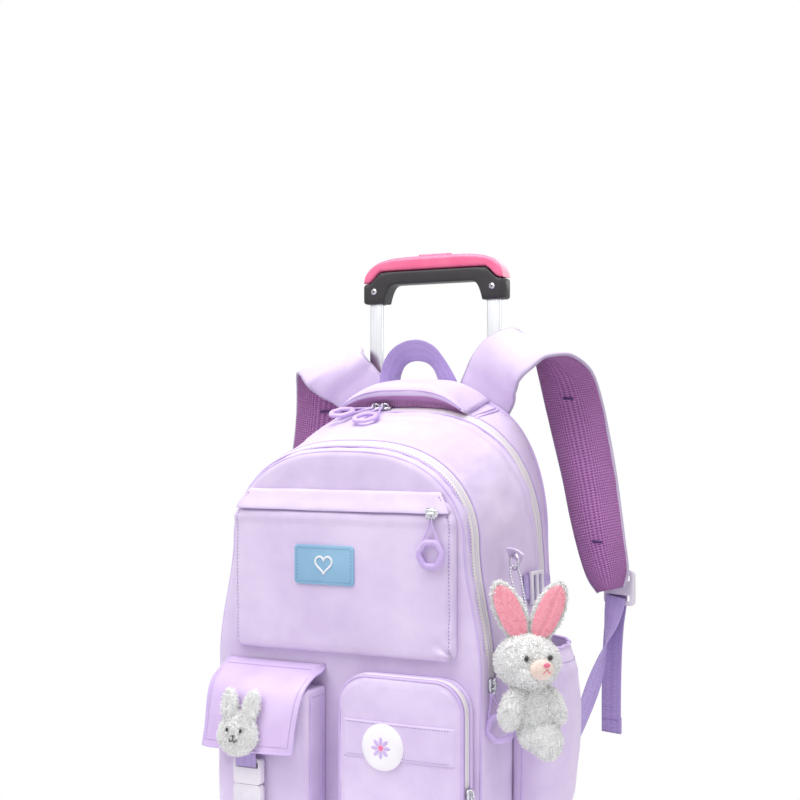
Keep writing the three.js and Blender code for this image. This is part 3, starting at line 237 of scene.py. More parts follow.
def resample(points: Sequence[Vector], pitch: float) -> list[tuple[Vector, Vector]]:
    """Points every pitch mm along a path, each with its direction."""
    out = []
    left = pitch / 2
    for a, b in zip(points, points[1:]):
        step = b - a
        while left <= step.length:
            out.append((a + step.normalized() * left, step.normalized()))
            left += pitch
        left -= step.length
    return out


def scattered(make: Callable[[Mesh, Matrix], object], places: Sequence[Matrix], batch: int = 40) -> Mesh:
    """Many small copies of one form.

    Args:
        make: draws the form into a bmesh at a matrix.
        places: a matrix for each copy.
        batch: copies drawn at a time, because an operator slows down as its bmesh grows.

    Returns:
        All copies.
    """
    parts = []
    for start in range(0, len(places), batch):
        bm = bmesh.new()
        for matrix in places[start:start + batch]:
            make(bm, matrix)
        parts.append(bm)
    return joined(*parts)


def stitch_row(points: Sequence[Vector], pitch: float = 3.0, length: float = 2.0,
               thick: float = 0.45) -> Mesh:
    """A row of sewn stitches.

    Args:
        points: the seam's path on the cloth.
        pitch: the distance between stitches in mm.
        length: a stitch's length.
        thick: a stitch's half thickness.

    Returns:
        One small rounded bead of thread for each stitch.
    """
    size = Matrix.Diagonal((length / 2, thick, thick, 1))
    places = [Matrix.Translation(p) @ way.to_track_quat("X", "Z").to_matrix().to_4x4() @ size
              for p, way in resample(points, pitch)]
    return scattered(lambda bm, m: bmesh.ops.create_icosphere(bm, subdivisions=1, radius=1, matrix=m), places)


def joined(*parts: Mesh) -> Mesh:
    """One bmesh that holds all the given ones."""
    whole = bmesh.new()
    whole.loops.layers.uv.new("UVMap")
    for part in parts:
        mesh = bpy.data.meshes.new("part")
        part.to_mesh(mesh)
        part.free()
        whole.from_mesh(mesh)
        bpy.data.meshes.remove(mesh)
    return whole


def oval(centre: Vector, half: tuple[float, float, float], turn: Matrix | None = None,
         segments: int = 24) -> Mesh:
    """A ball stretched to three half sizes, turned and set at a centre."""
    bm = bmesh.new()
    place = Matrix.Translation(centre) @ (turn or Matrix()) @ Matrix.Diagonal((*half, 1))
    bmesh.ops.create_uvsphere(bm, u_segments=segments, v_segments=segments // 2, radius=1, matrix=place)
    return bm


def block(low: Sequence[float], high: Sequence[float], edge: float = 1.0, segments: int = 3) -> Mesh:
    """A box between two corners with rounded edges."""
    bm = bmesh.new()
    size = Matrix.Diagonal((*(h - l for l, h in zip(low, high)), 1))
    centre = Matrix.Translation([(l + h) / 2 for l, h in zip(low, high)])
    bmesh.ops.create_cube(bm, size=1, matrix=centre @ size)
    bmesh.ops.bevel(bm, geom=bm.edges[:], offset=edge, segments=segments, affect="EDGES", profile=0.5,
                    material=-1)
    return bm


def placed(bm: Mesh, matrix: Matrix) -> Mesh:
    """The same bmesh after a turn and a move."""
    bmesh.ops.transform(bm, matrix=matrix, verts=bm.verts)
    return bm


# Materials.


def linear(code: str) -> tuple[float, float, float, float]:
    """A linear colour from an sRGB hex code such as E3D3F4."""
    parts = [int(code[i:i + 2], 16) / 255 for i in (0, 2, 4)]
    r, g, b = [c / 12.92 if c <= 0.04045 else ((c + 0.055) / 1.055) ** 2.4 for c in parts]
    return (r, g, b, 1.0)


def add(tree: Tree, kind: str, settings: dict | None = None, **links) -> bpy.types.Node:
    """Adds a node with its settings and links.

    Args:
        tree: the material's node tree.
        kind: the node's type without its ShaderNode prefix.
        settings: property names or input indexes and names with their values.
        links: input names, with _ for a space, or i0, i1 for an index, and what feeds each.

    Returns:
        The new node.
    """
    node = tree.nodes.new("ShaderNode" + kind)
    for key, value in (settings or {}).items():
        if isinstance(key, int) or key in node.inputs:
            node.inputs[key].default_value = value
        else:
            setattr(node, key, value)
    for key, socket in links.items():
        by_index = key[0] == "i" and key[1:].isdigit()
        target = node.inputs[int(key[1:]) if by_index else key.replace("_", " ")]
        tree.links.new(socket, target)
    return node


def maths(tree: Tree, how: str, a, b=0.0, c=0.0) -> Socket:
    """One sum on sockets or numbers, such as MULTIPLY or SMOOTH_MIN; returns its output."""
    node = tree.nodes.new("ShaderNodeMath")
    node.operation = how
    for i, value in enumerate((a, b, c)):
        if isinstance(value, Socket):
            tree.links.new(value, node.inputs[i])
        else:
            node.inputs[i].default_value = value
    return node.outputs[0]


def ramp(tree: Tree, value: Socket, stops: Sequence[tuple[float, str]]) -> Socket:
    """Colours along a value from 0 to 1; returns the colour output."""
    node = add(tree, "ValToRGB", None, Fac=value)
    elements = node.color_ramp.elements
    while len(elements) < len(stops):
        elements.new(0.5)
    for element, (position, code) in zip(elements, stops):
        element.position = position
        element.color = linear(code)
    return node.outputs["Color"]


class Pattern(Enum):
    """How a finish's surface was made."""

    WOVEN = "woven"
    SPACER = "spacer mesh"
    RIBBED = "ribbed webbing"
    ZIPPER = "zipper tape"
    FLEECE = "fleece"
    MOULDED = "moulded"
    DRAWN = "drawn"
    PLAIN = "plain"


@dataclass(frozen=True)
class Finish:
    """One finish: its name, colours and surface.

    light and dark are sRGB hex colours of its raised and its sunk or shaded parts.
    """

    name: str
    pattern: Pattern
    light: str
    dark: str
    rough: float = 0.6
    metallic: float = 0.0
    sheen: float = 0.0
    coat: float = 0.0
    fine: float = 0.4
    bump: float = 0.3
    subsurface: float = 0.0

    def build(self) -> bpy.types.Material:
        """The finish as a material with nodes."""
        material = bpy.data.materials.new(self.name)
        material.use_nodes = True
        tree = material.node_tree
        shader = tree.nodes["Principled BSDF"]
        for name, value in (("Roughness", self.rough), ("Metallic", self.metallic),
                            ("Sheen Weight", self.sheen),
                            ("Coat Weight", self.coat), ("Subsurface Weight", self.subsurface)):
            shader.inputs[name].default_value = value
        if self.sheen:
            shader.inputs["Sheen Roughness"].default_value = 0.4
        if self.subsurface:
            shader.inputs["Subsurface Radius"].default_value = (0.004, 0.003, 0.003)
            shader.inputs["Subsurface Scale"].default_value = 0.5
        where = add(tree, "TexCoord")
        colour, height, depth = getattr(self, "_" + self.pattern.name.lower())(tree, where)
        tree.links.new(colour, shader.inputs["Base Color"])
        lift = add(tree, "Bump", {"Strength": self.bump, "Distance": depth}, Height=height)
        tree.links.new(lift.outputs["Normal"], shader.inputs["Normal"])
        return material

    def _noise(self, tree: Tree, source: Socket, size_mm: float, detail: float = 2.0) -> Socket:
        """Noise with lumps of a size in mm on Object coordinates; returns its value."""
        return add(tree, "TexNoise", {"Scale": 1000 / size_mm, "Detail": detail},
                   Vector=source).outputs["Fac"]

    def _woven(self, tree: Tree, where: bpy.types.Node) -> tuple:
        """Plain-woven polyester: fine threads, creases with painted shade in their hollows, a slow random
        tone.
        """
        spot = where.outputs["Object"]
        threads = []
        for turn in ((0, 0, 0), (0, 0, math.pi / 2)):
            turned = add(tree, "Mapping", {"Rotation": turn}, Vector=spot)
            wave = add(tree, "TexWave", {"wave_type": "BANDS", "bands_direction": "DIAGONAL",
                                         "Scale": 200 * math.pi / (self.fine * 2), "Distortion": 0.6},
                                         Vector=turned.outputs[0])
            threads.append(wave.outputs["Fac"])
        weave = maths(tree, "MULTIPLY", maths(tree, "ADD", *threads), 0.08)
        creases = self._noise(tree, spot, 26, 3.0)
        slow = self._noise(tree, spot, 110, 1.0)
        height = maths(tree, "ADD", weave, maths(tree, "MULTIPLY", creases, 2.2))
        # The colour mixes a slow random tone with the crease noise, so the creases' hollows are painted
        # darker: painted shade.
        shade = maths(tree, "ADD", maths(tree, "MULTIPLY", slow, 0.6), maths(tree, "MULTIPLY", creases, 0.4))
        return ramp(tree, shade, ((0.3, self.dark), (0.62, self.light))), height, 0.0016

    def _spacer(self, tree: Tree, where: bpy.types.Node) -> tuple:
        """Spacer mesh: rows of diamond holes through a knitted face; painted shade darkens the holes."""
        split = add(tree, "SeparateXYZ", None, Vector=where.outputs["UV"])
        pitch = 3.4
        lean = maths(tree, "ADD", split.outputs[0], split.outputs[1])
        back = maths(tree, "SUBTRACT", split.outputs[0], split.outputs[1])
        waves = [maths(tree, "SINE", maths(tree, "MULTIPLY", way,
                                           2 * math.pi / pitch / 1.2)) for way in (lean, back)]
        holes = maths(tree, "MULTIPLY", waves[0], waves[1])
        height = maths(tree, "SMOOTH_MIN", holes, 0.25, 0.2)
        share = maths(tree, "MULTIPLY_ADD", holes, -0.5, 0.5)
        yarn = self._noise(tree, where.outputs["Object"], 1.2)
        share = maths(tree, "MULTIPLY_ADD", yarn, 0.16, maths(tree, "SUBTRACT", share, 0.08))
        # The colour is darkest in the holes: painted shade.
        painted_hole_shade = ramp(tree, share, ((0.18, self.dark), (0.52, self.light)))
        return painted_hole_shade, maths(tree, "MULTIPLY", height, -1.0), 0.0012

    def _ribbed(self, tree: Tree, where: bpy.types.Node) -> tuple:
        """Polyester webbing: crosswise ribs over lengthwise cords."""
        split = add(tree, "SeparateXYZ", None, Vector=where.outputs["UV"])
        ribs = maths(tree, "SINE", maths(tree, "MULTIPLY", split.outputs[1], 2 * math.pi / 1.7))
        cords = maths(tree, "SINE", maths(tree, "MULTIPLY", split.outputs[0], 2 * math.pi / 2.6))
        fuzz = self._noise(tree, where.outputs["Object"], 2.0)
        height = maths(tree, "ADD", maths(tree, "MULTIPLY", ribs, 0.6), maths(tree, "MULTIPLY", cords, 0.35))
        height = maths(tree, "ADD", height, fuzz)
        # The colour follows the height, so the grooves between ribs and cords are painted darker: painted
        # shade.
        share = maths(tree, "MULTIPLY_ADD", height, 0.22, 0.45)
        return ramp(tree, share, ((0.15, self.dark), (0.75, self.light))), height, 0.0004

    def _zipper(self, tree: Tree, where: bpy.types.Node) -> tuple:
        """Zipper tape: pale halves with a dark line at each edge and two by the hidden coil."""
        split = add(tree, "SeparateXYZ", None, Vector=where.outputs["UV"])
        side = maths(tree, "ABSOLUTE", maths(tree, "SUBTRACT", split.outputs[0], 0.5))
        half = maths(tree, "MULTIPLY", side, 2.0)
        teeth = maths(tree, "SINE", maths(tree, "MULTIPLY", split.outputs[1], 2 * math.pi / 1.6))
        colour = ramp(tree, half, (
            (0.0, self.dark), (0.05, "E9E4EA"), (0.17, "E2DCE4"), (0.22, self.dark), (0.27, self.light),
            (0.82, self.light), (0.9, "B9A3CF")))
        yarn = self._noise(tree, where.outputs["Object"], 0.9)
        return colour, maths(tree, "ADD", maths(tree, "MULTIPLY", teeth, 0.25), yarn), 0.0003

    def _fleece(self, tree: Tree, where: bpy.types.Node) -> tuple:
        """Curly plush: clumped fibres with a little shade between the clumps."""
        clumps = add(tree, "TexVoronoi", {"Scale": 1000 / 2.6, "Randomness": 1.0},
                     Vector=where.outputs["Object"])
        fibres = self._noise(tree, where.outputs["Object"], 0.8, 4.0)
        height = maths(tree, "ADD", maths(tree, "MULTIPLY", clumps.outputs["Distance"], -1.0), fibres)
        share = maths(tree, "MULTIPLY_ADD", height, 0.5, 0.5)
        return ramp(tree, share, ((0.2, self.dark), (0.6, self.light))), height, 0.0008

    def _moulded(self, tree: Tree, where: bpy.types.Node) -> tuple:
        """Injection-moulded plastic or rubber: a very fine spark-eroded grain."""
        grain = self._noise(tree, where.outputs["Object"], self.fine, 3.0)
        cloud = self._noise(tree, where.outputs["Object"], 30, 1.0)
        return ramp(tree, cloud, ((0.25, self.dark), (0.7, self.light))), grain, 0.0002

    def _drawn(self, tree: Tree, where: bpy.types.Node) -> tuple:
        """Drawn metal: faint scratches along the tube, far finer across than along."""
        stretched = add(tree, "Mapping", {"Scale": (1, 1, 0.02)}, Vector=where.outputs["Object"])
        lines = self._noise(tree, stretched.outputs[0], self.fine, 3.0)
        return ramp(tree, lines, ((0.3, self.dark), (0.7, self.light))), lines, 0.00004

    def _plain(self, tree: Tree, where: bpy.types.Node) -> tuple:
        """A smooth, even skin with a trace of grain."""
        grain = self._noise(tree, where.outputs["Object"], self.fine, 2.0)
        return ramp(tree, grain, ((0.3, self.dark), (0.7, self.light))), grain, 0.00003


class Finishes:
    """All finishes of the backpack, each built once."""

    TABLE = (
        # Coated polyester satin: a soft gloss with slow creases.
        Finish("satin_polyester_lilac", Pattern.WOVEN, "E4D4F1", "D4C1E6", rough=0.52, sheen=0.12, fine=0.5,
               bump=0.28),
        # The same cloth in a pinker dye lot with a shinier coating; darkened as painted shade.
        Finish("coated_polyester_flap_painted_shade", Pattern.WOVEN, "DCC6EC", "CBB1E1", rough=0.4, sheen=0.1, fine=0.5,
               bump=0.3),
        # A darker lilac like the lining, put as painted shade in the deep gaps between the layers.
        Finish("polyester_lining_shadow", Pattern.WOVEN, "A98FC8", "8F74B4", rough=0.7, fine=0.5, bump=0.3),
        # Knitted polyester spacer mesh: deep holes painted dark as painted shade, matt yarn.
        Finish("spacer_mesh_purple", Pattern.SPACER, "CB8CC9", "86468E", rough=0.75, sheen=0.1, bump=0.8),
        # The same mesh on the top pad, made paler as painted light for its strip facing down into shade.
        Finish("spacer_mesh_pad_painted_light", Pattern.SPACER, "E9B4E4", "A862B0", rough=0.75, sheen=0.1, bump=0.8),
        # Flat polyester webbing.
        Finish("webbing_purple", Pattern.RIBBED, "C4B0E4", "A78FD0", rough=0.6, sheen=0.15, bump=0.6),
        # Nylon zipper tape, pale grey.
        Finish("nylon_zipper_tape", Pattern.ZIPPER, "E4DDE0", "A48DBB", rough=0.55, bump=0.4),
        # Knitted piping over a cord.
        Finish("piping_lilac", Pattern.WOVEN, "D8C4EE", "C5ADE2", rough=0.5, sheen=0.1, fine=0.5, bump=0.2),
        # Silver-grey edge binding of the straps.
        Finish("binding_grey", Pattern.RIBBED, "C9BDD6", "AD9DC0", rough=0.5, sheen=0.1, bump=0.3),
        # Sewing thread.
        Finish("sewing_thread", Pattern.PLAIN, "9C84BE", "8C74B0", rough=0.6, fine=0.5, bump=0.2),
        Finish("sewing_thread_dark", Pattern.PLAIN, "5A3B78", "4B2F68", rough=0.6, fine=0.5, bump=0.2),
        Finish("sewing_thread_blue", Pattern.PLAIN, "6C95B8", "5F88AB", rough=0.6, fine=0.5, bump=0.2),
        # Woven label, pale blue, and its raised white motif.
        Finish("woven_label_blue", Pattern.WOVEN, "93BDDB", "80AECF", rough=0.6, fine=0.4, bump=0.3),
        Finish("silicone_white", Pattern.MOULDED, "FBF9FC", "F1EDF4", rough=0.45, fine=0.4, bump=0.1,
               subsurface=0.1),
        # Curly plush in white and short pile in pink and beige.
        Finish("curly_plush_white", Pattern.FLEECE, "FFFFFF", "FFFDFA", rough=0.9, sheen=0.5, bump=0.2,
               subsurface=0.25),
        Finish("short_pile_pink", Pattern.FLEECE, "F9A9B8", "EE879C", rough=0.9, sheen=0.4, bump=0.4),
        Finish("short_pile_beige", Pattern.FLEECE, "F0DCD2", "E0C8BC", rough=0.9, sheen=0.3, bump=0.3),
        Finish("embroidery_pink", Pattern.PLAIN, "F07C9C", "E56A8E", rough=0.5, fine=0.5, bump=0.3),
        Finish("bead_black", Pattern.PLAIN, "17141A", "0C0A0E", rough=0.12, coat=0.5, fine=1.0, bump=0.05),
        # Soft silicone rubber of the pulls.
        Finish("silicone_lilac", Pattern.MOULDED, "D6C0EE", "C6ACE4", rough=0.38, fine=0.5, bump=0.1,
               subsurface=0.15),
        # Acetal buckles.
        Finish("acetal_white", Pattern.MOULDED, "EBE6EF", "DDD6E4", rough=0.3, fine=0.5, bump=0.08,
               subsurface=0.1),
        # Gloss ABS of the grip's cover and button.
        Finish("gloss_abs_pink", Pattern.MOULDED, "FF7AA4", "FA6394", rough=0.22, coat=0.35, fine=0.5,
               bump=0.05, subsurface=0.05),
        # Grained polypropylene.
        Finish("grained_pp_black", Pattern.MOULDED, "2B272C", "1F1C21", rough=0.45, fine=0.35, bump=0.35),
        # Anodised aluminium tube.
        Finish("anodised_aluminium", Pattern.DRAWN, "E9EAEE", "D3D4DA", rough=0.3, metallic=1.0, fine=0.8,
               bump=0.2),
        # Zinc castings with a nickel and chrome plate.
        Finish("chrome_plate", Pattern.PLAIN, "D9D9DE", "BDBDC6", rough=0.14, metallic=1.0, fine=2.0,
               bump=0.05),
        Finish("turned_steel", Pattern.PLAIN, "A8A9AE", "8E8F95", rough=0.35, metallic=1.0, fine=0.6,
               bump=0.15),
        Finish("rubber_tyre", Pattern.MOULDED, "2A292C", "1C1B1E", rough=0.75, fine=0.6, bump=0.4),
        Finish("floor_paint", Pattern.PLAIN, "F6F5F8", "F3F2F6", rough=0.75, fine=40.0, bump=0.02), )

    def __init__(self) -> None:
        """Builds every finish of the table."""
        self._made = {finish.name: finish.build() for finish in self.TABLE}

    def __getitem__(self, name: str) -> bpy.types.Material:
        """The material of a finish."""
        return self._made[name]


@dataclass
class Workshop:
    """Makes pieces from bmeshes and dresses CAD nodes."""

    finishes: Finishes
    count: int = 0

    def piece(self, bm: Mesh, name: str, finish: str, *, slot: str, body: str = "bag",
              replaces: Sequence[str] = (), levels: int = 0, wall: float = 0.0,
              second: str | None = None) -> bpy.types.Object:
        """Turns a bmesh in millimetres into a finished piece in metres.

        Args:
            bm: the shape; it is used up.
            name: the piece's name.
            finish: the name of its finish.
            slot: the record's material slot; not used.
            body: the CAD body that it rides on.
            replaces: CAD nodes that it stands for.
            levels: levels of subdivision.
            wall: thickness in mm that a sheet gets inwards.
            second: a second finish, for faces whose material index is 1.

        Returns:
            The piece.
        """
        bmesh.ops.scale(bm, vec=(MM, MM, MM), verts=bm.verts)
        for face in bm.faces:
            face.smooth = True
        mesh = bpy.data.meshes.new(name)
        bm.to_mesh(mesh)
        bm.free()
        thing = bpy.data.objects.new(name, mesh)
        bpy.context.scene.collection.objects.link(thing)
        mesh.materials.append(self.finishes[finish])
        if second:
            mesh.materials.append(self.finishes[second])
        if wall:
            modifier = thing.modifiers.new("wall", "SOLIDIFY")
            modifier.thickness = wall * MM
            modifier.offset = -1
        if levels:
            modifier = thing.modifiers.new("soft", "SUBSURF")
            modifier.levels = levels
            modifier.render_levels = levels
        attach(thing, body)
        if replaces:
            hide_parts(*replaces)
        self.count += 1
        return thing

    def eased(self, node: str, name: str, finish: str, *, slot: str, body: str = "bag",
              edge: float = 1.0) -> bpy.types.Object:
        """A merged copy of a CAD node with its edges rounded, which stands for the node.

        Args:
            node: the CAD node.
            name: the new piece's name.
            finish: its finish.
            slot: the record's material slot; not used.
            body: the CAD body that it rides on.
            edge: the edges' radius in mm.

        Returns:
            The piece.
        """
        bm = bmesh.new()
        bm.from_mesh(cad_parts[node].data)
        bmesh.ops.scale(bm, vec=(1 / MM, 1 / MM, 1 / MM), verts=bm.verts)
        bmesh.ops.remove_doubles(bm, verts=bm.verts, dist=0.01)
        bmesh.ops.dissolve_limit(bm, angle_limit=math.radians(1), verts=bm.verts, edges=bm.edges)
        bmesh.ops.recalc_face_normals(bm, faces=bm.faces)
        thing = self.piece(bm, name, finish, slot=slot, body=body, replaces=[node])
        modifier = thing.modifiers.new("edges", "BEVEL")
        modifier.width = edge * MM
        modifier.segments = EDGE_FACETS
        modifier.limit_method = "ANGLE"
        modifier.angle_limit = math.radians(EDGE_ANGLE)
        modifier.harden_normals = True
        return thing

    def cloth(self, bm: Mesh, name: str, **options) -> bpy.types.Object:
        """A piece of the bag's own lilac cloth, with any of piece's options."""
        return self.piece(bm, name, "satin_polyester_lilac", slot="lilac_fabric", **options)

    def piping(self, line: Sequence[Vector], name: str, radius: float, sides: int = 6,
               closed: bool = False) -> None:
        """Lilac piping along a line."""
        self.piece(tube(line, radius, sides, closed), name, "piping_lilac", slot="lilac_fabric")

    def stitches(self, line: Sequence[Vector], name: str, pitch: float, length: float, thick: float,
                 slot: str = "lilac_fabric") -> bpy.types.Object:
        """A row of lilac stitches along a line."""
        return self.piece(stitch_row(line, pitch, length, thick), name, "sewing_thread", slot=slot)


@dataclass(frozen=True)
class BagForm:
    """The bag's outline along its depth, as the CAD has it, in millimetres."""

    half: float = 150.0
    bottom: float = 45.0
    corner: float = 26.0
    front: float = -80.0
    back: float = 104.0
    front_top: float = 450.0
    rise: float = 60.0
    spring: float = 361.0
    hip: float = 240.0
    sections: tuple = (
        (0.0, 0.885, 0.115, 2.6, 0.0), (0.1, 0.895, 0.105, 2.6, 0.1), (0.21, 0.92, 0.08, 2.7, 0.22),
        (0.49, 0.96, 0.05, 2.9, 0.51), (0.71, 0.99, 0.025, 3.1, 0.73), (1.0, 0.955, 0.04, 3.4, 1.0))

    def at(self, y: float) -> tuple[float, float, float, float]:
        """Half width, flare, power and top height at a depth y."""
        along = clamp((y - self.front) / (self.back - self.front))
        rows = self.sections
        i = 0
        while i < len(rows) - 2 and along > rows[i + 1][0]:
            i += 1
        a, b = rows[i], rows[i + 1]
        t = clamp((along - a[0]) / (b[0] - a[0]))
        half, flare, power, lift = (mix(a[k], b[k], t) for k in range(1, 5))
        return half * self.half, flare * self.half, power, self.front_top + lift * self.rise

    def side(self, y: float, z: float, inset: float = 0.0) -> float:
        """The side's distance from the middle at a depth and height."""
        half, flare, _, _ = self.at(y)
        return half - inset + flare * ease((self.spring - z) / (self.spring - self.hip))

    def arch(self, y: float, angle: float, inset: float = 0.0) -> Vector:
        """A point of the arch over the spring line."""
        half, _, power, top = self.at(y)
        x = (half - inset) * swell(math.cos(angle), power)
        return Vector((x, y, self.spring + (top - inset - self.spring) * math.sin(angle)))

    def ring(self, y: float, inset: float = 0.0, arch: int = 72) -> list[Vector]:
        """The whole outline at a depth, from the bottom's middle up the right side and round."""
        low = self.bottom + inset
        r = max(self.corner - inset, 3)
        wide = self.side(y, self.bottom, inset)
        right = [Vector(((wide - r) * k / 8, y, low)) for k in range(8)]
        for k in range(7):
            a = -math.pi / 2 + math.pi / 2 * k / 6
            right.append(Vector((wide - r + r * math.cos(a), y, low + r + r * math.sin(a))))
        for k in range(1, 30):
            z = mix(low + r, self.spring, k / 30)
            right.append(Vector((self.side(y, z, inset), y, z)))
        over = [self.arch(y, math.pi * k / arch, inset) for k in range(arch + 1)]
        left = [Vector((-p.x, p.y, p.z)) for p in reversed(right[1:])]
        return right + over + left

    def top_at(self, x: float, y: float) -> float:
        """The height of the bag's top at x and y."""
        half, _, power, top = self.at(y)
        c = min(abs(x) / half, 1) ** (power / 2)
        return self.spring + (top - self.spring) * math.sqrt(max(1 - c * c, 0))

    def seam(self, depth_at: Callable[[float], float], end: float, lift: float = 0.0,
             arch: int = 72) -> list[Row]:
        """A line round the bag with its directions.

        Args:
            depth_at: gives the line's depth y at a height.
            end: the height at which it ends on both sides.
            lift: how far outside the cloth it lies.
            arch: its stretches over the arch.

        Returns:
            Rows of point, way across and way out, from the right end to the left.
        """
        lows = [mix(end, self.spring, k / 14) for k in range(14)]
        points = [Vector((self.side(depth_at(z), z), depth_at(z), z)) for z in lows]
        for k in range(arch + 1):
            p = self.arch(depth_at(self.front_top), math.pi * k / arch)
            for _ in range(6):
                p = self.arch(depth_at(p.z), math.pi * k / arch)
            points.append(p)
        points += [Vector((-p.x, p.y, p.z)) for p in reversed(points[:14])]
        rows = []
        for i, p in enumerate(points):
            along = heading(points, i)
            here, ahead = self.at(p.y), self.at(p.y + 4)
            grow = Vector((math.copysign(ahead[0] - here[0], p.x) * min(1, abs(p.x) / here[0]), 4, 0))
            if p.z > self.spring:
                grow.z = (ahead[3] - here[3]) * (p.z - self.spring) / (here[3] - self.spring)
            across = (grow - along * grow.dot(along)).normalized()
            out = along.cross(across).normalized()
            if out.x * p.x + out.z * (p.z - self.spring * 0.8) < 0:
                out.negate()
            rows.append((p + out * lift, across, out))
        return rows


BAG = BagForm()
FACE_Y = BAG.front - 0.3
AHEAD = Vector((0, -1, 0))


def band(rows: Sequence[Row], width: float, profile: Sequence[tuple[float, float]],
         relative_uv: bool = False) -> Mesh:
    """A closed strip of constant width along rows.

    Args:
        rows: point, way across and way out at each station.
        width: its width in mm.
        profile: the section's points, as shares of the width and heights in mm, all the way round.
        relative_uv: the pattern map takes shares across instead of mm.

    Returns:
        The strip.
    """
    rings = [[p + a * (s * width) + o * h for s, h in profile] for p, a, o in rows]
    length = length_of([p for p, *_ in rows])
    bm = loft(rings, True, (1, length))
    layer = bm.loops.layers.uv.active
    lookup = {}
    for ring in rings:
        for point, (share, _) in zip(ring, profile):
            lookup[tuple(round(c, 3) for c in point)] = share + 0.5
    scale = 1 if relative_uv else width
    for face in bm.faces:
        for loop in face.loops:
            share = lookup.get(tuple(round(c, 3) for c in loop.vert.co), 0.5)
            loop[layer].uv.x = share * scale
    return bm


@dataclass
class Pillow:
    """A sewn pocket on the bag's front face: an oblong with rounded corners, raised and crowned."""

    left: float
    right: float
    bottom: float
    top: float
    corner_top: float
    corner_bottom: float
    depth: float
    round: float
    crown: float
    columns: int = 110
    rows: int = 90
    rim: int = 7
    wall_share: float = 0.3

    def rounded(self, x: float, z: float, inset: float) -> tuple[float, float]:
        """A point of the plain oblong moved inside its rounded corners."""
        radius = self.corner_top if z > (self.bottom + self.top) / 2 else self.corner_bottom
        r = max(radius - inset, 0.5)
        cx = clamp(x, self.left + inset + r, self.right - inset - r)
        cz = clamp(z, self.bottom + inset + r, self.top - inset - r)
        reach = math.hypot(x - cx, z - cz)
        if reach <= r or cx == x or cz == z:
            return x, z
        return cx + (x - cx) * r / reach, cz + (z - cz) * r / reach

    def spot(self, u: float, v: float) -> tuple[float, float, float]:
        """x, z and how far the cloth stands out, for u and v from 0 to 1."""
        i, j = u * self.columns, v * self.rows
        r = min(i, self.columns - i, j, self.rows - j, self.rim)
        t = r / self.rim
        if t < self.wall_share:
            inset, out = 0.0, (self.depth - self.round) * t / self.wall_share
        else:
            phi = math.pi / 2 * (t - self.wall_share) / (1 - self.wall_share)
            inset = self.round * (1 - math.cos(phi))
            out = self.depth - self.round + self.round * math.sin(phi)
        a = (i - r) / (self.columns - 2 * r)
        b = (j - r) / (self.rows - 2 * r)
        x, z = self.rounded(mix(self.left + inset, self.right - inset, a),
                            mix(self.bottom + inset, self.top - inset, b), inset)
        if r >= self.rim:
            out += self.crown * math.sqrt(max((1 - (2 * a - 1) ** 2) * (1 - (2 * b - 1) ** 2), 0))
        return x, z, out

    def shell(self, relief: Relief = lambda x, z: 0.0) -> Mesh:
        """The pocket's cloth with its relief in mm."""

        def place(u: float, v: float) -> Vector:
            """The cloth's point at u and v."""
            x, z, out = self.spot(u, v)
            lift = relief(x, z) * clamp(out / max(self.depth * 0.6, 1))
            return Vector((x, FACE_Y - out - lift, z))

        return grid(self.columns, self.rows, place, facing=AHEAD)

    def out_at(self, x: float, z: float) -> float:
        """How far the plain front stands out at x and z, away from its rounded rim."""
        a = clamp((x - self.left - self.round) / (self.right - self.left - 2 * self.round))
        b = clamp((z - self.bottom - self.round) / (self.top - self.bottom - 2 * self.round))
        return self.depth + self.crown * math.sqrt((1 - (2 * a - 1) ** 2) * (1 - (2 * b - 1) ** 2))

    def outline(self, inset: float, out: float, steps: int = 10) -> list[Vector]:
        """A closed path round the pocket at an inset, out from the face."""
        points = []
        corners = ((self.right, self.bottom, self.corner_bottom, -90, -1, 1),
                   (self.right, self.top, self.corner_top, 0, -1, -1),
                   (self.left, self.top, self.corner_top, 90, 1, -1),
                   (self.left, self.bottom, self.corner_bottom, 180, 1, 1))
        for x, z, radius, start, sx, sz in corners:
            r = max(radius - inset, 1)
            for k in range(steps + 1):
                a = math.radians(start + 90 * k / steps)
                points.append(Vector((x + sx * (r + inset) + r * math.cos(a), FACE_Y - out,
                                      z + sz * (r + inset) + r * math.sin(a))))
        return points


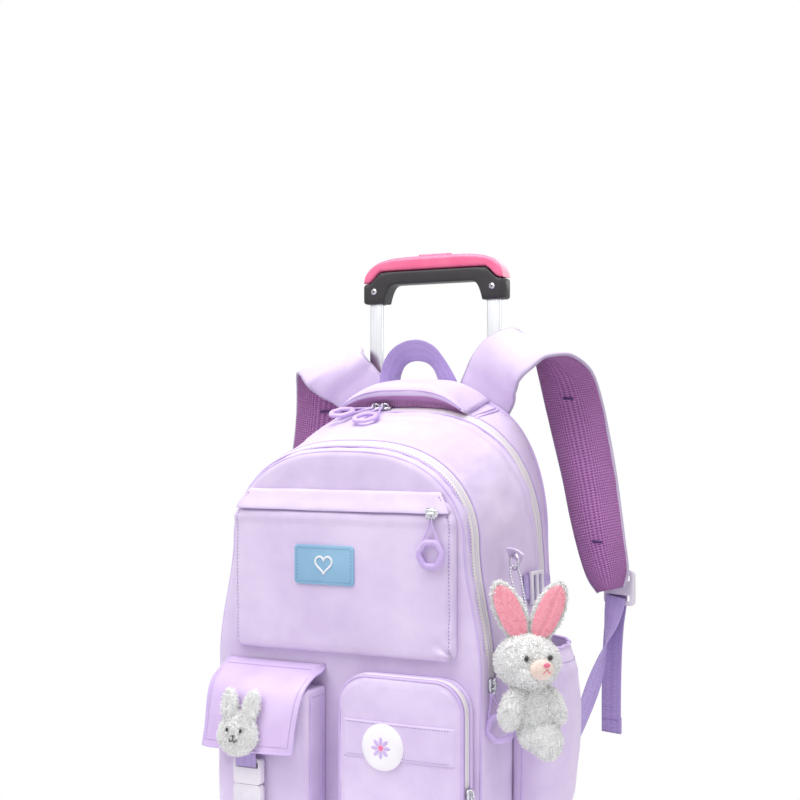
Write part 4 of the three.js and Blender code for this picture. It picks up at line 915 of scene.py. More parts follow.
class Studio:
    """The floor, the lights and the camera."""

    def build(self, finishes: Finishes) -> None:
        """Sets the camera at the photograph's view, soft lights and a pale floor."""
        scene = bpy.context.scene
        camera = bpy.data.cameras.new("camera")
        camera.lens = 64.8
        camera.sensor_width = 36
        camera.shift_y = 0.035
        holder = bpy.data.objects.new("camera", camera)
        holder.location = (0.71784, -1.31055, 0.472)
        holder.rotation_euler = (math.radians(90), 0, math.radians(28))
        scene.collection.objects.link(holder)
        scene.camera = holder
        scene.view_settings.view_transform = "Standard"
        self._light("key", (-1.1, -1.6, 2.4), 1.6, 30)
        self._light("fill", (2.4, -0.6, 1.3), 1.8, 11)
        self._light("top", (0.0, -0.3, 2.6), 1.8, 44)
        self._light("back", (0.5, 2.4, 1.6), 2.0, 14)
        world = bpy.data.worlds.new("studio")
        world.use_nodes = True
        tree = world.node_tree
        back = tree.nodes["Background"]
        back.inputs["Color"].default_value = (1, 1, 1, 1)
        # The white backdrop is seen and mirrored at full strength and lights the bag at half of it.
        path = add(tree, "LightPath")
        seen = maths(tree, "MAXIMUM", path.outputs["Is Camera Ray"], path.outputs["Is Glossy Ray"])
        tree.links.new(maths(tree, "MULTIPLY_ADD", seen, 0.5, 0.5), back.inputs["Strength"])
        scene.world = world
        bm = bmesh.new()
        bmesh.ops.create_circle(bm, cap_ends=True, segments=96, radius=0.6,
                                matrix=Matrix.Translation((0.131, -0.247, 0)))
        mesh = bpy.data.meshes.new("floor")
        bm.to_mesh(mesh)
        bm.free()
        floor = bpy.data.objects.new("floor", mesh)
        mesh.materials.append(finishes["floor_paint"])
        scene.collection.objects.link(floor)

    def _light(self, name: str, place: tuple[float, float, float], size: float, power: float) -> None:
        """One square soft light that shines on the bag's middle."""
        lamp = bpy.data.lights.new(name, "AREA")
        lamp.energy = power
        lamp.size = size
        holder = bpy.data.objects.new(name, lamp)
        holder.location = place
        holder.rotation_euler = (Vector((0, 0, 0.3)) - Vector(place)).to_track_quat("-Z", "Y").to_euler()
        bpy.context.scene.collection.objects.link(holder)


def push(bm: Mesh, relief: Callable[[Vector, Vector], float]) -> Mesh:
    """Moves every point along its normal by relief(point, normal) in mm."""
    bm.normal_update()
    moves = [v.normal * relief(v.co, v.normal) for v in bm.verts]
    for vert, move in zip(bm.verts, moves):
        vert.co += move
    return bm


# Half a zipper's section: its edge, the tape, a dip, the covered coil and the dark middle line.
ZIP_HALF = ((0.5, 0.0), (0.46, 0.55), (0.27, 0.6), (0.23, 0.35), (0.19, 0.35), (0.14, 1.2), (0.05, 1.3),
            (0.0, 0.6))
ZIP_PROFILE = (tuple((-s, h) for s, h in ZIP_HALF) + tuple(reversed(ZIP_HALF[:-1]))
               + ((0.5, -0.9), (-0.5, -0.9)))


@dataclass
class BagShell:
    """The bag's cloth shell with its gusset seams, zippers and edge piping."""

    zip_top: float = 42.0
    zip_low: float = 72.0
    zip_top_z: float = 491.0
    zip_span_z: float = 335.0
    zip_end: float = 290.0
    front_zip_y: float = -62.0
    front_zip_end: float = 228.0
    seam_ahead: float = 15.0
    main_width: float = 15.0
    front_width: float = 16.0
    round_front: float = 7.0
    round_back: float = 9.0

    def main_depth(self, z: float) -> float:
        """The main zipper's depth at a height."""
        return mix(self.zip_top, self.zip_low,
                   clamp((self.zip_top_z - z) / (self.zip_top_z - self.zip_span_z)))

    def main_rows(self) -> list:
        """Rows of the main zipper, flush with the cloth."""
        return BAG.seam(self.main_depth, self.zip_end, 0.2)

    def front_rows(self) -> list:
        """Rows of the front zipper, on the cloth."""
        return BAG.seam(lambda z: self.front_zip_y, self.front_zip_end, 0.6)

    def relief(self, p: Vector, n: Vector) -> float:
        """The cloth's seams, puffs and puckers at a point.

        Args:
            p: the point in mm.
            n: the outward direction there.

        Returns:
            How far the cloth moves outwards in mm.
        """
        side = clamp(1.2 - abs(n.y) * 1.2)
        high = ease((p.z - 120) / 90)
        d = p.y - self.main_depth(p.z)
        lift = -0.9 * bump(d, self.main_width * 0.62) * ease((p.z - self.zip_end + 12) / 14) * side
        seam = d + self.seam_ahead
        fade = side * high
        lift -= 1.5 * bump(seam, 2.6) * fade * ease((p.z - 250) / 60)
        lift += 1.3 * bump(seam + 9, 9) * fade + 0.8 * bump(seam - 6, 5) * fade
        f = p.y - self.front_zip_y
        lift += 1.2 * bump(f - 14, 8) * side * high
        lift -= 0.8 * bump(p.z - 231, 2.2) * side * ease((-40 - p.y) / 10)
        lift -= 1.2 * bump(p.y - 96, 2.5) * side
        way = math.atan2(p.z - 280, p.x)
        pucker = lump(way * 9, p.y / 46, 1.3)
        lift += (1.5 * pucker + 0.5 * lump(way * 26, p.y / 17, 4.1)) * side
        lift += 0.9 * noise.noise(p / 60 + Vector((7, 0, 2))) * (1 - side)
        if abs(p.x) < 9 and 20 < p.y < 40:
            lift -= 0.9 * bump(p.x, 1.8) * side
        return lift

    def shell(self) -> Mesh:
        """The whole skin, from the front face's middle round to the back's."""
        arch = 110
        rings = []
        middle = Vector((0, 0, 250))

        def shrunk(y: float, share: float, inset: float) -> list[Vector]:
            """A ring drawn towards the face's middle."""
            ring = BAG.ring(y, inset, arch)
            return [Vector((p.x * share, y, mix(middle.z, p.z, share))) for p in ring]

        for k in range(16):
            rings.append(shrunk(BAG.front, mix(0.04, 1, k / 16), self.round_front))
        for k in range(6):
            a = math.pi / 2 * k / 5
            rings.append(BAG.ring(BAG.front + self.round_front * (1 - math.cos(a)),
                                  self.round_front * (1 - math.sin(a)), arch))
        start, end = BAG.front + self.round_front, BAG.back - self.round_back
        steps = round((end - start) / 1.7)
        rings += [BAG.ring(mix(start, end, k / steps), 0, arch) for k in range(1, steps + 1)]
        for k in range(1, 6):
            a = math.pi / 2 * k / 5
            rings.append(BAG.ring(end + self.round_back * math.sin(a), self.round_back * (1 - math.cos(a)),
                                  arch))
        for k in range(1, 10):
            rings.append(shrunk(BAG.back, mix(1, 0.04, k / 9), self.round_back))
        return push(loft(rings), self.relief)

    def edge_line(self, y: float, inset: float) -> list[Vector]:
        """A closed path round the bag's outline at a depth."""
        return BAG.ring(y, inset, 60)

    def build(self, shop: Workshop) -> None:
        """Makes the shell, its zippers, piping and stitch rows."""
        shop.cloth(self.shell(), "bag_shell", replaces=["main_compartment", "front_compartment"])
        for node, rows, width in (("main_zipper", self.main_rows(), self.main_width),
                                  ("front_zipper", self.front_rows(), self.front_width)):
            name = f"{node}_tape"
            shop.piece(band(rows, width, ZIP_PROFILE, True), name, "nylon_zipper_tape", slot="zipper_tape",
                       replaces=[node])
            for side in (-1, 1):
                line = [p + a * (side * (width / 2 + 1.0)) + o * 0.3 for p, a, o in rows]
                shop.piping(line, f"{name}_fold_{'front' if side < 0 else 'back'}", 1.0)
        rows = self.front_rows()
        line = [p + a * (-self.front_width / 2 + 1.7) + o * 0.7 for p, a, o in rows]
        shop.stitches(line, "front_zipper_stitches", 3.2, 2.0, 0.35)
        shop.piping(self.edge_line(BAG.front + 3.0, 2.2), "front_edge_piping", 1.5, 8, True)
        shop.piping(self.edge_line(BAG.back - 3.0, 1.6), "back_edge_piping", 2.0, 8, True)


def ribbon(rows: Sequence[StrapRow], steps: int, segments: int, power: float) -> Mesh:
    """A strap of soft oblong section through rows.

    Args:
        rows: centre, way across, width and thickness at each station.
        steps: new stations per row.
        segments: faces along each flat side.
        power: how square its section is.

    Returns:
        The strap; its pattern map runs in mm.
    """
    centres = spline([r[0] for r in rows], steps)
    ways = spline([r[1].normalized() for r in rows], steps)
    sizes = spline([Vector((r[2], r[3], 0)) for r in rows], steps)
    rings = []
    count = 4 * segments
    for i, (p, way, size) in enumerate(zip(centres, ways, sizes)):
        along = heading(centres, i)
        across = (way - along * way.dot(along)).normalized()
        out = along.cross(across).normalized()
        ring = []
        for k in range(count):
            a = 2 * math.pi * k / count
            x = swell(math.cos(a), power) * size.x / 2
            y = swell(math.sin(a), power) * size.y / 2
            ring.append(p + across * x + out * y)
        rings.append(ring)
    length = length_of(centres)
    widest = max(s.x for s in sizes)
    return loft(rings, True, (2 * widest, length))


def rows_from(table: Sequence[tuple], wide: float = 0.0, thick: float = 0.0) -> list[StrapRow]:
    """Strap rows from a table of x, y, z, way across (3) and, unless given for all, width and thickness."""
    return [(Vector(r[0:3]), Vector(r[3:6]), r[6] if len(r) > 6 else wide,
             r[7] if len(r) > 7 else thick) for r in table]


def strap_edges(rows: Sequence[StrapRow], inset: float, steps: int) -> tuple[list[Vector], list[Vector]]:
    """The two edge lines of a strap.

    Args:
        rows: the strap's rows.
        inset: the distance in from its edges.
        steps: new points per row.

    Returns:
        The lines on the far side and the near side of its way across.
    """
    centres = spline([r[0] for r in rows], steps)
    ways = spline([r[1].normalized() for r in rows], steps)
    widths = spline([Vector((r[2], 0, 0)) for r in rows], steps)
    lines: tuple[list[Vector], list[Vector]] = ([], [])
    for i, (p, way, w) in enumerate(zip(centres, ways, widths)):
        along = heading(centres, i)
        across = (way - along * way.dot(along)).normalized()
        for line, side in zip(lines, (1, -1)):
            line.append(p + across * (side * (w.x / 2 - inset)))
    return lines


def within_front(p: Vector, margin: float = 5.0) -> Vector:
    """A point of the front face drawn in where the bag's outline narrows over the spring line."""
    if p.z <= BAG.spring - 20:
        return p
    half, _, power, top = BAG.at(BAG.front)
    rise = clamp((p.z - BAG.spring) / (top - BAG.spring))
    limit = half * (1 - rise * rise) ** (1 / power) - margin
    return Vector((p.x * min(1.0, limit / 125.0), p.y, p.z))


@dataclass
class UpperPocket:
    """The large pocket with the slit zipper under a storm flap."""

    form: Pillow = field(default_factory=lambda: Pillow(-125, 125, 250, 402, 6, 9, 9, 5, 3, 130, 90))
    slit_z: float = 392.0

    def relief(self, x: float, z: float) -> float:
        """Puffs, gathers at the corners and the slit's dip."""
        f = self.form
        near = min(x - f.left, f.right - x)
        low = z - f.bottom
        lift = 1.3 * lump(x / 55, z / 45, 3.0)
        lift += 1.6 * lump(x / 13, z / 40, 9.0) * bump(low, 26)
        lift += 1.4 * lump(x / 34, z / 11, 5.0) * bump(near, 22)
        corner = math.hypot(f.right - 8 - x, low - 8)
        lift += 2.6 * math.sin(math.atan2(low - 4, f.right - x) * 7) * bump(corner, 20)
        lift -= 1.6 * bump(near - 5, 2.4)
        lift -= 2.2 * bump(z - self.slit_z + 1, 3)
        lift += 1.2 * bump(z - self.slit_z + 9, 8)
        return lift

    def storm_flap(self) -> Mesh:
        """The strip of cloth that hangs over the slit zipper."""
        f = self.form
        rows = ((19.0, 0.4), (18.8, 2.6), (17.5, 4.4), (13, 6.4), (9, 8.2), (5, 10.2), (2, 11.6), (0, 12.2),
                (-1.0, 12.0))

        def place(u: float, v: float) -> Vector:
            """The strip's point at u and v."""
            up, out = row_at(rows, v)
            x = mix(f.left + 1, f.right - 1, u)
            edge = min(x - f.left, f.right - x)
            out = out * (0.8 + 0.2 * ease(edge / 12)) + 0.7 * lump(x / 28, v * 2, 2) * v
            sag = 0.8 * math.sin(u * math.pi) * v + 0.6 * lump(x / 40, 1, 6)
            return within_front(Vector((x, FACE_Y - out, self.slit_z + up - sag)))

        return grid(120, 24, place, facing=AHEAD)

    def build(self, shop: Workshop) -> None:
        """Makes the pocket, its flap, slit and stitch rows."""
        f = self.form
        cloth = f.shell(self.relief)
        for vert in cloth.verts:
            vert.co = within_front(vert.co)
        shop.cloth(cloth, "upper_pocket_cloth", replaces=["upper_pocket"], wall=1.2)
        shop.cloth(self.storm_flap(), "upper_pocket_storm_flap", wall=1.1)
        # The slit zipper is drawn as a dark strip in the gap under the storm flap: painted shade.
        slit = block((f.left + 16, FACE_Y - 9.6, self.slit_z - 2.4),
                     (f.right - 16, FACE_Y - 6, self.slit_z + 1.6), 0.6)
        shop.piece(slit, "slit_zipper_painted_shade", "polyester_lining_shadow", slot="zipper_tape",
                   replaces=["slit_zipper"])
        for side, x in (("left", f.left + 5), ("right", f.right - 5)):
            line = [within_front(Vector((x, FACE_Y - f.depth - self.relief(x, z) - 0.1, z)))
                    for z in range(258, 388, 3)]
            shop.stitches(line, f"upper_pocket_stitches_{side}", 3.6, 2.3, 0.55)
            line = [Vector((x, FACE_Y - 4.6 - 0.06 * (430 - z), z)) for z in range(392, 412, 4)]
            line = [within_front(q) for q in line]
            shop.stitches(line, f"storm_flap_stitches_{side}", 3.6, 2.3, 0.5)
        z = self.slit_z - 5
        line = [Vector((x, FACE_Y - f.out_at(x, z) + 0.9 - self.relief(x, z), z))
                for x in range(-118, 120, 4)]
        shop.stitches(line, "slit_stitches", 3.0, 1.9, 0.4)


@dataclass
class FlapPocket:
    """The lower left pocket with its flap."""

    form: Pillow = field(default_factory=lambda: Pillow(-127, -20, 62, 216, 3, 14, 36, 8, 5, 80, 90, 12,
                                                        0.72))
    flap_left: float = -134.0
    flap_right: float = -21.0
    flap_top: float = 237.0
    rows: tuple = ((0.6, 0, 0), (3.2, 1.0, 0), (9, 4, 0), (20, 9, .5), (32, 15, 1), (40, 22, 2), (45, 32, 3),
                   (49, 46, 4), (53, 62, 5), (57, 80, 5))

    def relief(self, x: float, z: float) -> float:
        """Soft puffs and creases."""
        lift = 1.6 * lump(x / 30, z / 38, 12.0)
        return lift + 1.2 * lump(x / 11, z / 30, 2.0) * bump(z - self.form.bottom, 30)

    def flap_point(self, u: float, v: float) -> Vector:
        """The flap's outer face at u across and v down."""
        path = [Vector(r) for r in self.rows]
        i = clamp(v) * (len(path) - 1)
        k = min(int(i), len(path) - 2)
        p = [path[max(k - 1, 0)], path[k], path[k + 1], path[min(k + 2, len(path) - 1)]]
        q = between(p, i - k)
        x = mix(self.flap_left + q.z, self.flap_right - q.z, u)
        side = 2 * abs(u - 0.5)
        out = q.x + 1.2 - 2.2 * ease((side - 0.86) / 0.14) * ease(v * 3)
        out += (1.3 * lump(x / 34, q.y / 30, 8) + 1.4 * math.sin(u * math.pi)) * ease(v * 2)
        down = q.y + 0.9 * lump(x / 40, 3, 1) * v
        right = ease((u - 0.9) / 0.1)
        out -= 3.0 * right * bump(v - 0.14, 0.12)
        down += 3.2 * right * bump(v - 0.2, 0.16)
        return Vector((x, FACE_Y - out, self.flap_top - down))

    def build(self, shop: Workshop) -> None:
        """Makes the pocket, the flap, its piping and seams."""
        f = self.form
        shop.cloth(f.shell(self.relief), "flap_pocket_cloth", replaces=["flap_pocket"], wall=1.2)
        # The flap's finish is painted darker than its cloth: painted shade.
        flap = shop.piece(grid(72, 66, self.flap_point, facing=AHEAD), "flap_cloth", "coated_polyester_flap_painted_shade",
                          slot="flap_fabric", replaces=["flap"], wall=1.8)
        edge = [self.flap_point(0, v / 40) for v in range(1, 40)]
        edge += [self.flap_point(u / 30, 1) for u in range(31)]
        edge += [self.flap_point(1, v / 40) for v in range(39, 0, -1)]
        piping = shop.piece(tube([p + Vector((0, 0.7, 0)) for p in edge], 1.3, 8), "flap_piping",
                            "piping_lilac", slot="flap_fabric")
        line = [self.flap_point(u / 40, 0.24) + Vector((0, -0.2, 0.3)) for u in range(1, 38)]
        top_seam = shop.stitches(line, "flap_top_stitches", 3.0, 2.0, 0.4, "flap_fabric")
        inset = [self.flap_point(0.035, v / 40) for v in range(14, 39)]
        inset += [self.flap_point(u / 30, 0.955) for u in range(1, 30)]
        inset += [self.flap_point(0.965, v / 40) for v in range(38, 13, -1)]
        line = [p + Vector((0, -0.2, 0)) for p in inset]
        hem = shop.stitches(line, "flap_hem_stitches", 3.0, 2.0, 0.35, "flap_fabric")
        for name, out in (("front", f.depth - 7), ("back", 9)):
            heights = range(int(f.bottom) + 16, int(f.top) - 3, 6)
            line = [Vector((f.right + 0.4, FACE_Y - out, z)) for z in heights]
            shop.piping(line, f"flap_pocket_side_piping_{name}", 1.1)
        rim = [Vector((f.right + 0.3, FACE_Y - o, f.top - 8)) for o in range(2, 32, 5)]
        shop.stitches(rim, "flap_pocket_hem_stitches", 3.0, 2.0, 0.4)
        rim = block((f.left + 5, FACE_Y - f.depth - 0.6, f.top - 12),
                    (f.right - 5, FACE_Y - f.depth + 1.2, f.top - 0.5), 0.6)
        shop.cloth(rim, "flap_pocket_hem")


@dataclass
class ZipPocket:
    """The lower right pocket with a zipper round its rim and a band across."""

    form: Pillow = field(default_factory=lambda: Pillow(8, 142, 62, 234, 30, 18, 24, 6, 3, 96, 110, 12, 0.66))
    zip_out: float = 15.0
    zip_end: float = 130.0
    zip_width: float = 10.0
    band_low: float = 156.0
    band_high: float = 192.0

    def relief(self, x: float, z: float) -> float:
        """Soft puffs."""
        return 1.2 * lump(x / 36, z / 34, 22.0) + 0.5 * lump(x / 12, z / 14, 7.0)

    def rows(self) -> list[Row]:
        """Rows of the zipper round the rim."""
        f = self.form
        path = [p for p in f.outline(0, self.zip_out, 12) if p.z > f.top - f.corner_top - 1]
        sides = [Vector((f.right, path[0].y, z)) for z in (130, 145, 160, 175, 190)]
        path = sides + path + [Vector((f.left, p.y, p.z)) for p in reversed(sides)]
        rows = []
        for i, p in enumerate(path):
            along = heading(path, i)
            rows.append((p, Vector((0, 1, 0)), Vector((along.z, 0, -along.x)).normalized()))
        return rows

    def build(self, shop: Workshop) -> None:
        """Makes the pocket, zipper, piping and band."""
        f = self.form
        shop.cloth(f.shell(self.relief), "zip_pocket_cloth", replaces=["zip_pocket"], wall=1.2)
        shop.piece(band(self.rows(), self.zip_width, ZIP_PROFILE, True), "pocket_zipper_tape",
                   "nylon_zipper_tape", slot="zipper_tape", replaces=["pocket_zipper"])
        for name, out, inset, radius in (("front", f.depth - 2.0, 0.9, 1.3), ("rear", 8.5, -0.3, 1.0)):
            shop.piping(f.outline(inset, out), f"zip_pocket_piping_{name}", radius, 8, True)

        def panel(u: float, v: float) -> Vector:
            """The band's point at u and v."""
            x = mix(f.left + 3.2, f.right - 3.2, u)
            z = mix(self.band_low, self.band_high, v)
            out = f.out_at(x, z) + self.relief(x, z) + 0.9 + 0.5 * math.sin(v * math.pi)
            edge = ease(min(u, 1 - u) * 134 / 6)
            return Vector((x, FACE_Y - out + (1 - edge) * 3.4, z))

        shop.cloth(grid(60, 20, panel, facing=AHEAD), "zip_pocket_band", wall=1.2)
        for name, v in (("low", 0.07), ("high", 0.93)):
            line = [panel(u / 50, v) + Vector((0, -0.15, 0)) for u in range(3, 48)]
            shop.stitches(line, f"zip_pocket_band_stitches_{name}", 3.0, 2.0, 0.38)
        line = [p + o * 0.3 + Vector((0, 6.2, 0)) for p, _, o in self.rows()]
        shop.stitches(line, "pocket_zipper_stitches", 3.0, 2.0, 0.35)


@dataclass
class SidePocket:
    """An open elastic-topped pocket on the bag's side."""

    side: int
    front: float = -10.0
    back: float = 80.0
    bottom: float = 66.0
    top: float = 258.0
    bulge: float = 48.0
    levels: tuple = ((0, .3), (.08, .68), (.22, .86), (.45, .97), (.68, 1), (.86, .93), (1, .7))

    def point(self, u: float, v: float) -> Vector:
        """The pocket's cloth at u from front to back and v from bottom to mouth."""
        i = 0
        while i < len(self.levels) - 2 and v > self.levels[i + 1][0]:
            i += 1
        a, b = self.levels[i], self.levels[i + 1]
        part_way = (v - a[0]) / (b[0] - a[0])
        share = mix(a[1], b[1], ease(part_way) * 0.5 + 0.5 * clamp(part_way))
        angle = math.pi * u
        y = mix(self.front, self.back, (1 - math.cos(angle)) / 2)
        z = mix(self.bottom, self.top, v)
        gather = 1.5 * math.sin(u * 46) * bump(1 - v, 0.14) + 1.4 * math.sin(u * 21 + 1) * bump(v, 0.2)
        puff = 2.0 * lump(y / 26, z / 40, self.side * 3.0)
        out = share * self.bulge * math.sin(angle) ** 0.6 + (gather + puff) * math.sin(angle) ** 0.6
        return Vector((self.side * (BAG.side(y, z) + 1.6 + max(out, 0)), y, z - 3 * math.sin(angle) * v))

    def build(self, shop: Workshop) -> None:
        """Makes the pocket's cloth and its elastic hem."""
        name = "right" if self.side > 0 else "left"
        cloth = grid(90, 70, self.point, facing=Vector((self.side, 0, 0)))
        shop.cloth(cloth, f"side_pocket_cloth_{name}", replaces=[f"side_pocket_{name}"], wall=1.2)
        rim = [self.point(u / 60, 0.995) for u in range(1, 60)]
        shop.piping(rim, f"side_pocket_binding_{name}", 1.7, 8)
        line = [self.point(u / 80, 0.92) + Vector((self.side * 0.3, 0, 0)) for u in range(4, 77)]
        shop.stitches(line, f"side_pocket_stitches_{name}", 3.0, 2.0, 0.4)
        seam = [self.point(0.02, v / 20) + Vector((self.side * 0.5, 0, 0)) for v in range(1, 20)]
        shop.piping(seam, f"side_pocket_seam_{name}", 1.0)


@dataclass
class TopPad:
    """The padded strip on top of the bag, with spacer mesh on its front."""

    half: float = 76.0
    lip: float = 35.0
    front: float = 49.0
    back: float = 98.5
    thick: float = 21.0
    clear: float = 0.8
    mesh_top: float = 0.56
    section: tuple = ((0.22, 0.0), (0.17, 0.3), (0.02, 0.52), (0.0, 0.85), (0.06, 1.12), (0.2, 1.3),
                      (0.45, 1.2), (0.8, 0.95), (0.96, 0.75), (1.0, 0.4), (1.0, 0.0), (0.6, 0.0))

    def ring(self, u: float) -> list[Vector]:
        """The section at u from -1 to 1 across the bag, as a smooth closed line."""
        x = u * self.half
        fade = max(1 - abs(u) ** 3.2, 0) * 0.8 + 0.2
        points = []
        for along, up in self.section:
            y = mix(self.lip, self.back, along)
            seat = BAG.top_at(x, max(y, self.front))
            points.append(Vector((x, y, seat + self.clear + up * self.thick * fade)))
        return spline(points, 5, True)

    def build(self, shop: Workshop) -> None:
        """Makes the pad and marks its mesh strip by face."""
        count = 90
        rings = [self.ring(mix(-1, 1, k / count)) for k in range(count + 1)]
        bm = loft(rings, True, (150, 2 * self.half))
        for face in bm.faces:
            spot = face.calc_center_median()
            u = abs(spot.x) / self.half
            fade = max(1 - u ** 3.2, 0) * 0.8 + 0.2
            up = (spot.z - BAG.top_at(spot.x, max(spot.y, self.front)) - self.clear) / (self.thick * fade)
            if up < self.mesh_top and spot.y < self.lip + 14 and u < 0.96:
                face.material_index = 1
        push(bm, lambda p, n: 0.9 * lump(p.x / 22, p.y / 16, 3) * (p.z > 480))
        # The mesh strip takes the paler copy of the spacer mesh: painted light.
        pad = shop.cloth(bm, "top_pad_cloth", replaces=["top_pad"], second="spacer_mesh_pad_painted_light")
        line = [self.ring(mix(-0.97, 0.97, k / 60))[15] for k in range(61)]
        shop.piping(line, "top_pad_seam", 0.9)
        for side in (-1, 1):
            for k, x in enumerate((78, 82)):
                line = [Vector((side * (x + (y - 40) * 0.16), y, BAG.top_at(x + (y - 40) * 0.16, y) + 0.4))
                        for y in range(34, 98, 4)]
                shop.piping(line, f"top_seam_{'right' if side > 0 else 'left'}_{k + 1}", 0.7)


@dataclass
class BackPanel:
    """The padded mesh panel against the wearer's back."""

    half: float = 122.0
    bottom: float = 80.0
    top: float = 462.0
    thick: float = 8.0

    def build(self, shop: Workshop) -> None:
        """Makes the panel with its channels between the pads."""
        y0 = BAG.back + 0.3

        def place(u: float, v: float) -> Vector:
            """The panel's point at u and v."""
            x, z = mix(-1, 1, u), mix(-1, 1, v)
            limit = 1.0 if z < 0 else (1 - z ** 4 * 0.42)
            spot = Vector((x * self.half * limit, 0, mix(self.bottom, self.top, v)))
            edge = min(1 - abs(x), 1 - abs(z))
            out = self.thick * (0.25 + 0.75 * ease(edge / 0.09))
            for channel in (-0.38, 0.38):
                out -= 4.0 * bump(z - channel, 0.05)
            out -= 4.0 * bump(x, 0.06)
            out = max(out, 1.2) if edge > 0.001 else 0.0
            return spot + Vector((0, y0 + out, 0))

        bm = grid(90, 140, place, uv=(244, 382), facing=-AHEAD)
        panel = shop.piece(bm, "back_panel_mesh", "spacer_mesh_purple", slot="spacer_mesh",
                           replaces=["back_panel"], wall=0.5)


@dataclass
class ShoulderStrap:
    """One padded shoulder strap: fabric outside, spacer mesh inside, bound edges."""

    name: str
    rows: tuple
    mesh_side: int
    tacks: tuple = (0.58, 0.86)

    def build(self, shop: Workshop) -> None:
        """Makes the strap, its binding and its bartacks."""
        rows = rows_from(self.rows)
        bm = ribbon(rows, 8, 12, 3.2)
        bm.normal_update()
        centres = spline([r[0] for r in rows], 8)
        for face in bm.faces:
            spot = face.calc_center_median()
            k = min(range(len(centres)), key=lambda i: (centres[i] - spot).length_squared)
            along = heading(centres, k)
            row = rows[min(round(k / 8), len(rows) - 1)]
            out = along.cross(row[1].normalized()).normalized() * self.mesh_side
            if out.dot(face.normal) > 0.12:
                face.material_index = 1
        push(bm, lambda p, n: 0.8 * noise.noise(p / 24))
        strap = shop.cloth(bm, f"shoulder_strap_{self.name}_pad",
                           replaces=[f"shoulder_strap_{self.name}"], second="spacer_mesh_purple", levels=1)
        for side, line in zip(("outer", "inner"), strap_edges(rows, 0.6, 8)):
            shop.piece(tube(line[2:], 1.9, 8), f"shoulder_strap_{self.name}_binding_{side}", "binding_grey",
                       slot="lilac_fabric")
        for k, share in enumerate(self.tacks):
            i = share * (len(rows) - 1)
            low = min(int(i), len(rows) - 2)
            p = rows[low][0].lerp(rows[low + 1][0], i - low)
            way = rows[low][1].normalized()
            along = (rows[low + 1][0] - rows[low][0]).normalized()
            out = along.cross(way).normalized() * self.mesh_side
            line = [p + way * x + out * (rows[low][3] / 2 + 0.5) for x in (-6, -2, 2, 6)]
            tack = joined(tube(line, 0.9, 6), stitch_row([q + along * 0.9 for q in line], 1.6, 2.4, 0.6),
                          stitch_row([q - along * 0.9 for q in line], 1.6, 2.4, 0.6))
            shop.piece(tack, f"bartack_{self.name}_{k + 1}", "sewing_thread_dark", slot="spacer_mesh")


STRAP_RIGHT = (
    (54, 107.2, 474, 54, 0, -30, 60, 5), (64, 107.6, 496, 54, 0, -34, 64, 6),
    (73, 106.5, 514, 55, -3, -34, 68, 8),
    (84, 98, 531, 56, -16, -33, 70, 10), (99, 93, 545, 55, -24, -31, 72, 11),
    (116, 94, 553, 57, -29, -29, 73, 12),
    (131, 102, 555, 60, -32, -22, 73, 12), (144, 115, 547, 65, -28, -13, 73, 12),
    (153, 128, 527, 69, -20, -3, 73, 12),
    (159, 137, 496, 69, -17, 4, 72, 12), (166, 141, 460, 68, -16, 3, 70, 12),
    (174, 142, 422, 66, -17, 1, 68, 12),
    (181, 141, 385, 64, -18, 0, 66, 12), (189, 139, 348, 60, -19, 0, 62, 12),
    (197, 137, 318, 52, -14, 4, 52, 11), (201, 136, 301, 42, -10, 6, 34, 8))
STRAP_LEFT = (
    (-56, 107.2, 474, -54, 0, -30, 60, 5), (-66, 107.6, 493, -54, 0, -34, 64, 6),
    (-80, 107, 508, -55, -3, -34, 60, 7),
    (-93, 103, 521, -58, -14, -31, 62, 9), (-104, 96, 532, -62, -22, -30, 68, 10),
    (-114, 98, 540, -66, -22, -28, 75, 12),
    (-124, 107, 541, -68, -22, -24, 75, 12), (-134, 119, 533, -68, -22, -16, 75, 12),
    (-143, 131, 514, -69, -20, -4, 74, 12), (-150, 138, 484, -69, -17, 3, 72, 12),
    (-157, 141, 450, -68, -16, 3, 70, 12),
    (-165, 142, 414, -66, -17, 1, 68, 12), (-173, 141, 378, -64, -18, 0, 66, 12),
    (-181, 139, 341, -60, -19, 0, 62, 12),
    (-189, 137, 311, -52, -14, 4, 52, 11), (-194, 136, 293, -42, -10, 6, 36, 9))


